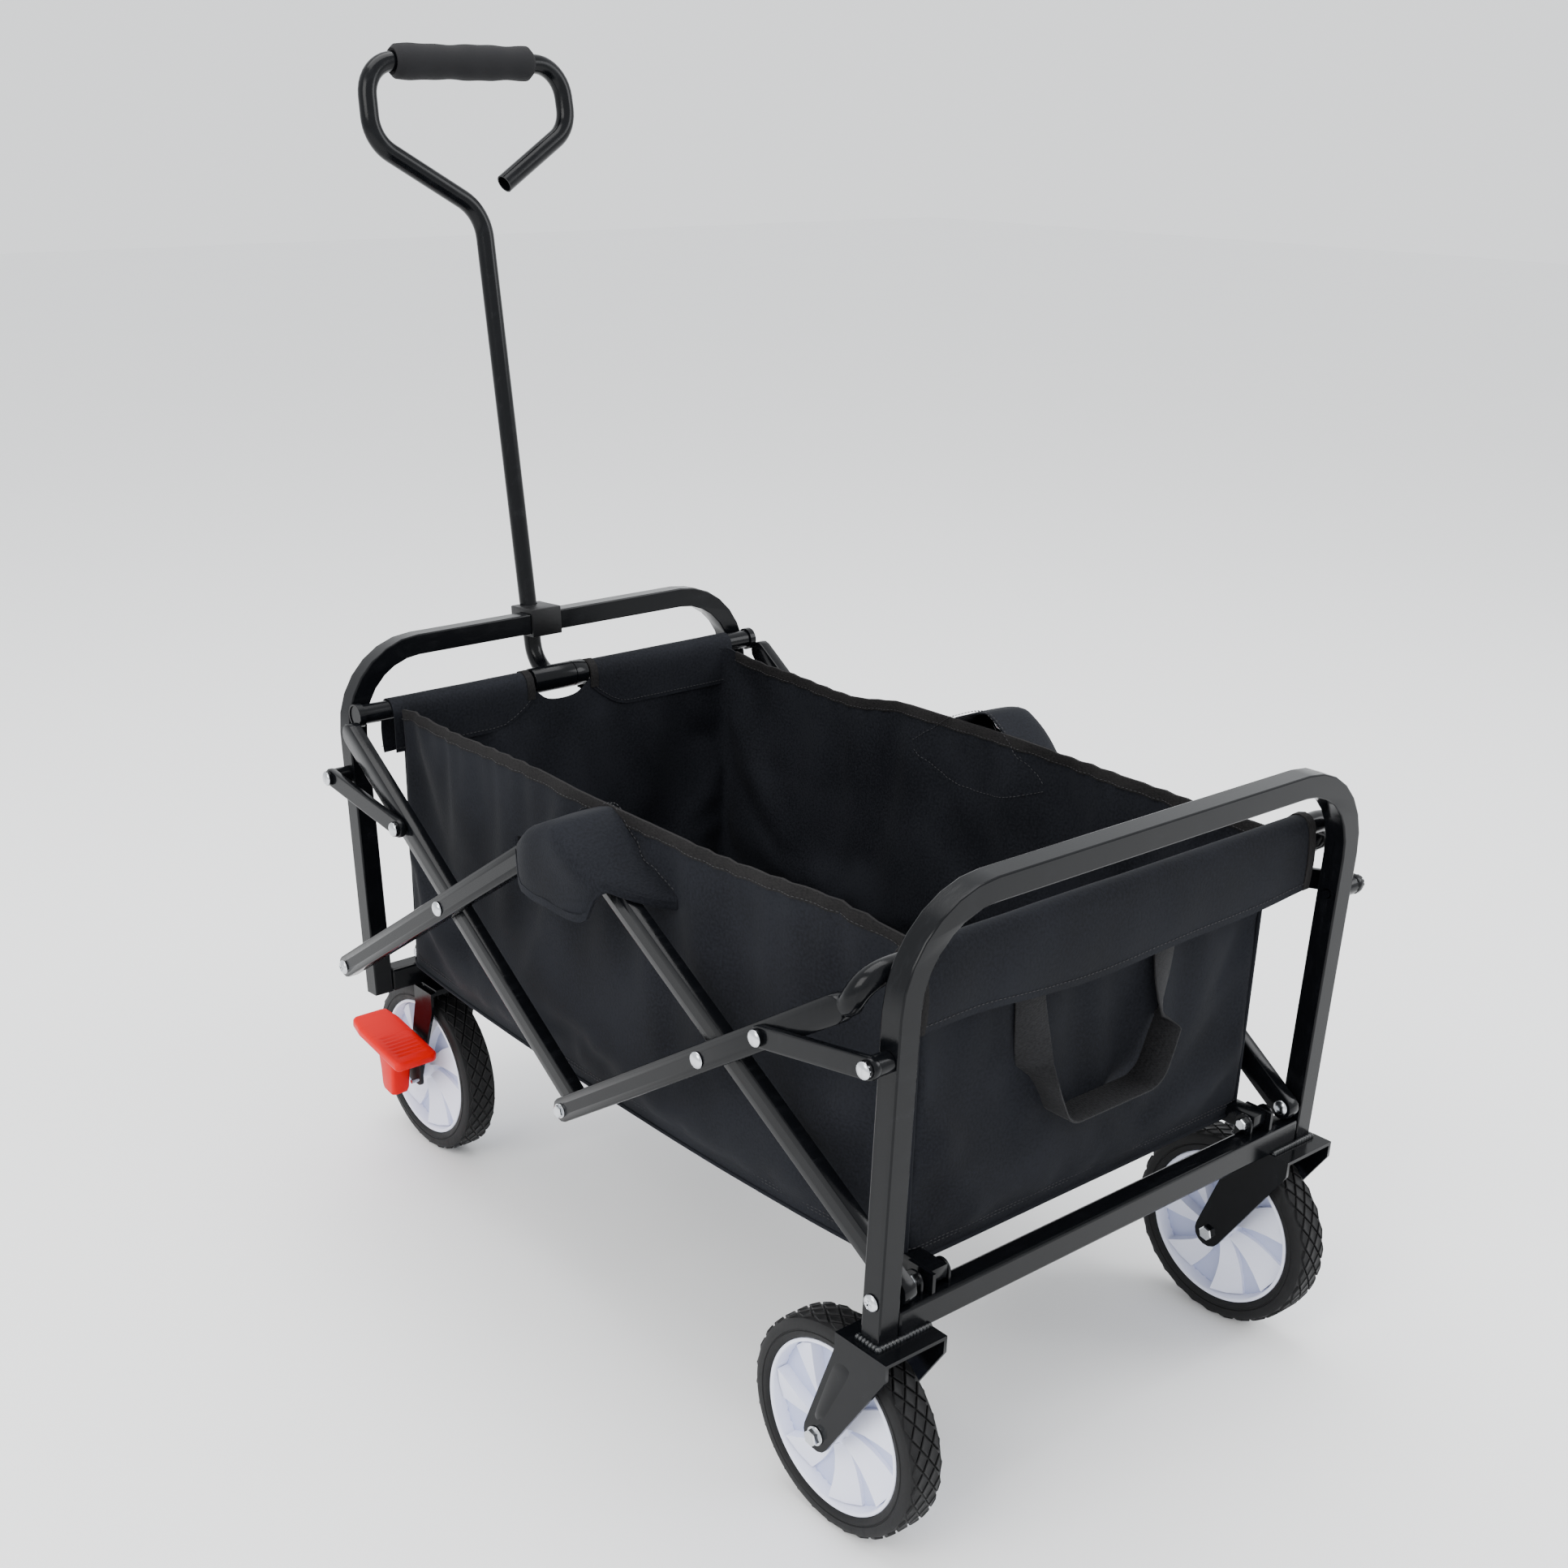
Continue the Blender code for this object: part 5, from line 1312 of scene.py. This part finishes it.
rear_flap, rings = sleeve_piece("rear_sleeve", REAR_RAIL, -1, -0.2165, 0.2165, lambda x: 0.4335,
                                lambda x: 0.4165 - 0.004 * math.cos(x * 14), "rear_high_bars")
bound_end("rear_sleeve_end_left", rings[0], "rear_high_bars", -1)
bound_end("rear_sleeve_end_right", rings[-1], "rear_high_bars", 1)
for tag, low_x, high_x, way_x in (("left", -0.2005, -0.0460, 1), ("right", 0.0220, 0.2005, -1)):
    flap, rings = sleeve_piece("front_sleeve_" + tag, FRONT_RAIL, 1, low_x, high_x, cut_away,
                               lambda x: cut_away(x) - 0.006, "front_frame")
    bound_end("front_sleeve_edge_" + tag, rings[-1 if way_x > 0 else 0], "front_frame", way_x)
print("three sleeve pieces over two rails")

# %% [markdown]
# A sewn pouch covers each pair of top middle pivots, so that nobody's hand
# meets the moving bars. It is a small tent: a ridge sewn to the wall, a shelf
# over the bars and a short skirt outside them, open underneath. A simulation
# would pull it onto the bars, so its sections are drawn to clear them.

# %% Pouches over the top pivots
RIDGE = ((-0.090, 0.430), (-0.050, 0.452), (-0.008, 0.4845), (0.035, 0.466), (0.085, 0.429))
REAR_REACH, FRONT_REACH = 0.090, 0.085
POUCH_OUT, SKIRT_LOW = 0.2690, 0.4090
BAR_FALL = 0.662
POUCH_HEM = ((0.0012, -0.006), (0.0013, 0.0004), (-0.0013, 0.0004), (-0.0012, -0.006))


def ridge_at(dy):
    """The ridge's height at a distance from the pivots."""
    for (y0, z0), (y1, z1) in zip(RIDGE, RIDGE[1:]):
        if dy <= y1:
            return z0 + (z1 - z0) * (dy - y0) / (y1 - y0)
    return RIDGE[-1][1]


def wall_x_at(side, y, z):
    """The wall's place in x, from the settled columns."""
    nearest = min(SIDE_COLUMNS[side], key=lambda c: abs(WALL[c][ROWS].y - y))
    row = min(range(ROWS + 1), key=lambda r: abs(WALL[nearest][r].z - z))
    return WALL[nearest][row].x


def pouch_row(side, s):
    """One section from the wall outwards; s runs from -1 at the rear end to 1 at the front end."""
    dy = s * (REAR_REACH if s < 0 else FRONT_REACH)
    top = ridge_at(dy)
    top = top - 0.003 * math.exp(-((dy + 0.008) / 0.010) ** 2)
    rim_x = 0.0015 + side * wall_x_at(side, MIDDLE_Y + dy, top)
    taper = 1 - abs(s) ** 4
    reach = (POUCH_OUT - rim_x) * taper + 0.0008
    bar = TOP_PIVOT_Z - BAR_FALL * abs(dy) + 0.0120
    rising = min(1.0, max(0.0, (abs(s) - 0.50) / 0.2))
    low = SKIRT_LOW + (max(bar + 0.003, SKIRT_LOW) - SKIRT_LOW) * rising * rising * (3 - 2 * rising)
    low = min(low, top - 0.004)
    outline = [(rim_x + reach * k / 5, top - 0.0035 * (k / 5) ** 2) for k in range(5)]
    outline.append((rim_x + reach * 0.97, top - 0.0060))
    outline += [(rim_x + reach * (1.0 - 0.010 * k / 5), top - 0.006 + (low - top + 0.006) * k / 5)
                for k in range(1, 6)]
    row = []
    for k, (x, z) in enumerate(outline):
        free = min(k, 4) / 4 * taper
        row.append(Vector((side * (x + crumple((s, k * 0.2, side), 2.2, 0.0022) * free),
                           MIDDLE_Y + dy + crumple((k * 0.3, s, side), 2.0, 0.002) * free,
                           z + crumple((s * 1.4, side, k * 0.25), 2.0, 0.0020) * free)))
    return row, Vector((side * (rim_x - 0.0002), MIDDLE_Y + dy, top - 0.001))


def pouch(side, tag):
    """A pouch with its hem, and stitches on both faces of the wall."""
    sections = [pouch_row(side, -1 + 2 * i / 26) for i in range(27)]
    rows = [row for row, _ in sections]
    made = tub_piece(cloth_piece("pivot_pouch_" + tag, rows, CLOTH_THICK), CLOTH, 70.0)
    lift = [seat + Vector((0, 0, 0.0035)) for _, seat in sections[1:-1]]
    patch = []
    for i in range(1, 20):
        dy = -REAR_REACH + (REAR_REACH + FRONT_REACH) * i / 20
        z = 0.430 - 0.024 * math.sin(math.pi * i / 20)
        patch.append(Vector((side * (abs(wall_x_at(side, MIDDLE_Y + dy, z)) + 0.0010), MIDDLE_Y + dy, z)))
    inner = [Vector((side * (abs(p.x) - 0.0036), p.y, p.z)) for p in lift]
    inner_patch = [Vector((side * (abs(p.x) - 0.0030), p.y, p.z)) for p in patch]
    folded_with_tub(stitched("pouch_stitches_" + tag, [lift, inner, patch, inner_patch], "rear_frame",
                             HEAVY_STITCH))
    spine = [(row[-1], Vector((side, 0, 0)), Vector((0, 0, -1))) for row in rows]
    tub_piece(ribbon("pouch_hem_" + tag, spine, POUCH_HEM), CLOTH, 50.0)
    return made


for side, tag in SIDES:
    made = pouch(side, tag)
print("two pivot pouches")

# %% [markdown]
# A loop of ribbed webbing on the rear wall lifts the folded wagon. It is sewn
# on under the sleeve's flap and hangs in a flat U. Its ends lie on the wall,
# and it twists so that its face looks up at the bottom of the loop. A ribbon
# with a set twist at each point holds that shape, which webbing's stiffness
# gives the real loop.

# %% Carry strap
STRAP_WIDE, STRAP_THICK = 0.028, 0.0019
STRAP_CORNERS = ((-0.084, 0, 0.428), (-0.079, 0, 0.345), (-0.058, 0, 0.303), (0.045, 0, 0.3035),
                 (0.062, 0, 0.350), (0.068, 0, 0.428))
STRAP_STEP = 0.007
strap_path = rounded(STRAP_CORNERS, [0.030, 0.018, 0.022, 0.030], 8)
dense = []
for before, after in zip(strap_path, strap_path[1:]):
    pieces = max(1, round((after - before).length / STRAP_STEP))
    dense += [before.lerp(after, i / pieces) for i in range(pieces)]
dense.append(strap_path[-1])
facing = []
for i, point in enumerate(dense):
    along = (dense[min(i + 1, len(dense) - 1)] - dense[max(i - 1, 0)]).normalized()
    share = min(i, len(dense) - 1 - i) / (len(dense) / 2)
    twist = min(1.0, share * 2.1) ** 1.6
    flat_way = along.cross(Vector((0, 1, 0))).normalized()
    facing.append((along, flat_way * (1 - twist) + Vector((0, -1, 0)) * twist, twist))
spine = []
for i, (along, way, twist) in enumerate(facing):
    near = facing[max(0, i - 4):i + 5]
    side_way = sum((other[1] for other in near), Vector())
    side_way = (side_way - along * side_way.dot(along)).normalized()
    stand = REAR_WALL_Y - 0.0024 - twist * (STRAP_WIDE / 2 + 0.002)
    spine.append((Vector((dense[i].x, stand, dense[i].z)), side_way, along.cross(side_way).normalized()))
half, thick = STRAP_WIDE / 2, STRAP_THICK / 2
upper = [(half, thick * 0.5), (half - 0.0006, thick), (0.0, thick), (-half + 0.0006, thick),
         (-half, thick * 0.5)]
strap = tub_piece(ribbon("carry_strap", spine, upper + [(x, -y) for x, y in reversed(upper)]), WEBBING, 50.0)
ends = [[spine[end][0] + Vector((edge_x, -0.0014, -k * 0.004)) for k in range(4)]
        for end in (0, -1) for edge_x in (-0.0115, 0.0115)]
folded_with_tub(stitched("strap_stitches", ends, "rear_frame"))

# %% [markdown]
# The floor is two thin boards in a cloth cover, hinged to the floor rails, so
# that it folds up in the middle with the frame. A board is a closed pad with
# a slight crown, soft edges and a stitched border. Its corners at the middle
# are cut away, where the other board's rails end.

# %% Floor boards
CUT_LONG, CUT_WIDE = 0.0165, 0.150
WALL_GAP, BORDER_INSET = 0.0035, 0.009
BOARD_COLUMNS = 24
BOARD_SHARES = sorted([-1 + i / 10 for i in range(21)] + [-0.985, 0.985, -0.92, 0.92])


def floor_board(name, y_from, y_to, body):
    """A thin pad between two places in y, with a stitched border."""
    rings = []
    for t in BOARD_SHARES:
        y = (y_from + y_to) / 2 + (y_to - y_from) / 2 * t
        wide = CUT_WIDE if abs(y - MIDDLE_Y) < CUT_LONG else bulged(y) - WALL_GAP
        end = (1 - abs(t) ** 14) ** 0.5
        top = []
        for k in range(BOARD_COLUMNS + 1):
            s = -1 + 2 * k / BOARD_COLUMNS
            edge = (1 - abs(s) ** 18) ** 0.5
            high = 0.0004 + 0.0022 * edge * end + crumple((s, t, y_from), 2.5, 0.0008) * edge * end
            top.append(Vector((wide * s, y, FLOOR_HIGH - 0.0012 + high)))
        rings.append(top + [Vector((p.x, p.y, FLOOR_LOW + 0.0002)) for p in reversed(top)])
    board = finished(lofted(name, rings), CLOTH, body, "tub_fabric", limit=50.0)
    near, far = y_from + BORDER_INSET, y_to - BORDER_INSET
    border = [Vector((side * (bulged(y) - WALL_GAP - BORDER_INSET), y, FLOOR_HIGH + 0.0014))
              for side, y in ((-1, near), (1, near), (1, far), (-1, far), (-1, near))]
    stitched(name + "_stitches", [border], body, HEAVY_STITCH)
    return board


rear_board = floor_board("floor_board_rear", REAR_WALL_Y + 0.003, MIDDLE_Y - 0.0012, "rear_floor_rails")
floor_board("floor_board_front", MIDDLE_Y + 0.0012, FRONT_WALL_Y - 0.003, "front_floor_rails")
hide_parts("tub_floor")
print("two floor boards")

# %% [markdown]
# Small parts finish the frame. Weld beads are rows of overlapping ripples
# where tubes and forks meet. Each rear fork has a pressed rib down its face,
# which is a skin over low arched sections.

# %% Welds and fork ribs
WELD_PITCH = 0.0030
WIDE_WELD, WELD_SIZE, FINE_WELD = (0.0046, 0.0066, 0.0066), (0.0042, 0.0058, 0.0058), (0.0030, 0.0036, 0.0036)
RIB_ARCH = ((-1, 0), (-0.6, 0.8), (0, 1.0), (0.6, 0.8), (1, 0), (0, -0.2))


def weld(name, loops, body, size):
    """Weld beads: overlapping ripples along each path."""
    beads(name, loops, WELD_PITCH, size, WELD, body, "frame_paint")


for side, tag in SIDES:
    low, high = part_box("rear_fork_" + tag)
    leg_x, leg_y, foot_z = side * 0.240, MIDDLE_Y - 0.3637, high.z + 0.0012
    reach = HALF_TUBE + 0.0008
    weld("leg_weld_" + tag, [
        [(leg_x - reach, leg_y - reach, foot_z), (leg_x + reach, leg_y - reach, foot_z)],
        [(leg_x + side * reach, leg_y - reach, foot_z), (leg_x + side * reach, leg_y + reach, foot_z)]],
        "rear_frame", WIDE_WELD)
    weld("tube_weld_" + tag, [[(side * 0.2005, leg_y - reach, foot_z),
                               (leg_x - side * reach, leg_y - reach, foot_z)]], "rear_frame", WELD_SIZE)
    rib, axle = [], middle("rear_axle_" + tag)
    face_x = low.x if side < 0 else high.x
    for i in range(13):
        t = i / 12
        y, z = axle.y - 0.028 * t, axle.z + 0.012 + (high.z - 0.020 - axle.z - 0.012) * t
        wide = 0.0055 + 0.0060 * t
        round_end = (1 - (2 * t - 1) ** 8) ** 0.5
        rib.append([Vector((face_x + side * (0.0014 * round_end * lift - 0.0006),
                            y + across * wide * max(0.05, round_end), z)) for across, lift in RIB_ARCH])
    finished(lofted("fork_rib_" + tag, rib), PAINT, "rear_frame", "frame_paint", limit=60.0)
print("leg welds and fork ribs made")

# %% [markdown]
# The floor rails turn on bolts between small ears that stand on the cross
# tubes. An ear is a flat plate with a round top: an outline given a thickness,
# with a small step at each face that softens its edge.

# %% Ears and bolts of the floor rails
EAR_R, EAR_THICK, EAR_LOW = 0.0085, 0.0022, 0.2085
HINGE_OFF, HINGE_Z = 0.35824, 0.2216
BOLT_HEAD = ((0, 0), (0, 0.0052), (0.0030, 0.0052), (0.0036, 0.0044), (0.0036, 0))


def plate_between(name, outline, x_from, x_to, body):
    """A flat outline of (y, z) points given thickness along X."""
    inset = math.copysign(0.0004, x_to - x_from)
    middle_y = sum(y for y, z in outline) / len(outline)
    middle_z = sum(z for y, z in outline) / len(outline)
    rings = []
    for x, share in ((x_from, 0.95), (x_from + inset, 1.0), (x_to - inset, 1.0), (x_to, 0.95)):
        rings.append([Vector((x, middle_y + (y - middle_y) * share, middle_z + (z - middle_z) * share))
                      for y, z in outline])
    finished(lofted(name, rings), PAINT, body, "frame_paint")


for end, word in ((-1, "rear"), (1, "front")):
    body, hinge_y = word + "_frame", MIDDLE_Y + end * HINGE_OFF
    outline = []
    for degrees in range(-90, 91, 15):
        turn_by = math.radians(degrees)
        outline.append((hinge_y + EAR_R * math.sin(turn_by), HINGE_Z + EAR_R * math.cos(turn_by)))
    outline += [(hinge_y + EAR_R, EAR_LOW), (hinge_y - EAR_R, EAR_LOW)]
    for side, tag in SIDES:
        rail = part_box(word + "_floor_rail_" + tag)
        inner, outer = sorted((abs(rail[0].x), abs(rail[1].x)))
        for label, x in (("inner", inner - 0.0034), ("outer", outer + 0.0012)):
            plate_between(word + "_ear_" + label + "_" + tag, outline, side * x, side * (x + EAR_THICK), body)
        bolt_at = Vector((side * (inner + outer) / 2, hinge_y, HINGE_Z))
        reach = (outer - inner) / 2 + 0.0036
        for way, label in ((-1, "_a"), (1, "_b")):
            head = turned(word + "_floor_bolt_" + tag + label, [(way * (reach + x), r) for x, r in BOLT_HEAD],
                          bolt_at, 6)
            finished(head, ZINC, body, "zinc_hardware", limit=25.0)
        weld_y = hinge_y - end * 0.0088
        weld(word + "_ear_weld_" + tag, [[(side * (inner - 0.003), weld_y, 0.2095),
                                          (side * (outer + 0.003), weld_y, 0.2095)]], body, FINE_WELD)
print("ears and bolts made")

# %% [markdown]
# Last come the collars where the front hem rail meets the legs, a weld over
# each caster, and the low domes of the rivets that close the side links.

# %% Collars and link heads
CASTER_X, WELD_HALF = 0.1635, 0.020
COLLAR_RING = [(x, RAIL_R + rise) for x, rise in ((-0.004, 0.0004), (-0.004, 0.0020), (0.0024, 0.0020),
                                                  (0.0024, 0.0004))]
LINK_ENDS = {"rear": ((-0.2579, 0.3957), (-0.3684, 0.4157)), "front": ((0.2579, 0.3957), (0.3773, 0.4109))}
LINK_HEAD_R, LINK_HEAD_HIGH = 0.0066, 0.0028
for side, tag in SIDES:
    edge = Vector((side * (half_size("front_top_rail").x - 0.0030), FRONT_RAIL.y, FRONT_RAIL.z))
    finished(turned("rail_collar_" + tag, COLLAR_RING, edge, 28), PAINT, "front_frame", "frame_paint")
    weld_y = MIDDLE_Y + 0.3618 - HALF_TUBE - 0.0006
    weld("caster_weld_" + tag, [[(side * (CASTER_X - WELD_HALF), weld_y, 0.1885),
                                 (side * (CASTER_X + WELD_HALF), weld_y, 0.1885)]], "front_frame", FINE_WELD)
for end, pivots in LINK_ENDS.items():
    for side, tag in SIDES:
        outer_x = half_size(end + "_link_" + tag).x + abs(middle(end + "_link_" + tag).x)
        turns = [math.pi / 2 * i / 6 for i in range(7)]
        dome = [(side * (LINK_HEAD_HIGH * math.cos(t) - 0.0004), LINK_HEAD_R * math.sin(t)) for t in turns]
        dome += [(-side * 0.0010, LINK_HEAD_R), (-side * 0.0010, 0)]
        for number, (y, z) in enumerate(pivots):
            head = turned(end + "_link_head_" + tag + "_" + str(number + 1), dome,
                          Vector((side * outer_x, MIDDLE_Y + y, z)), 24)
            finished(head, ZINC, end + "_links", "zinc_hardware")
print("collars, caster welds and link heads made")
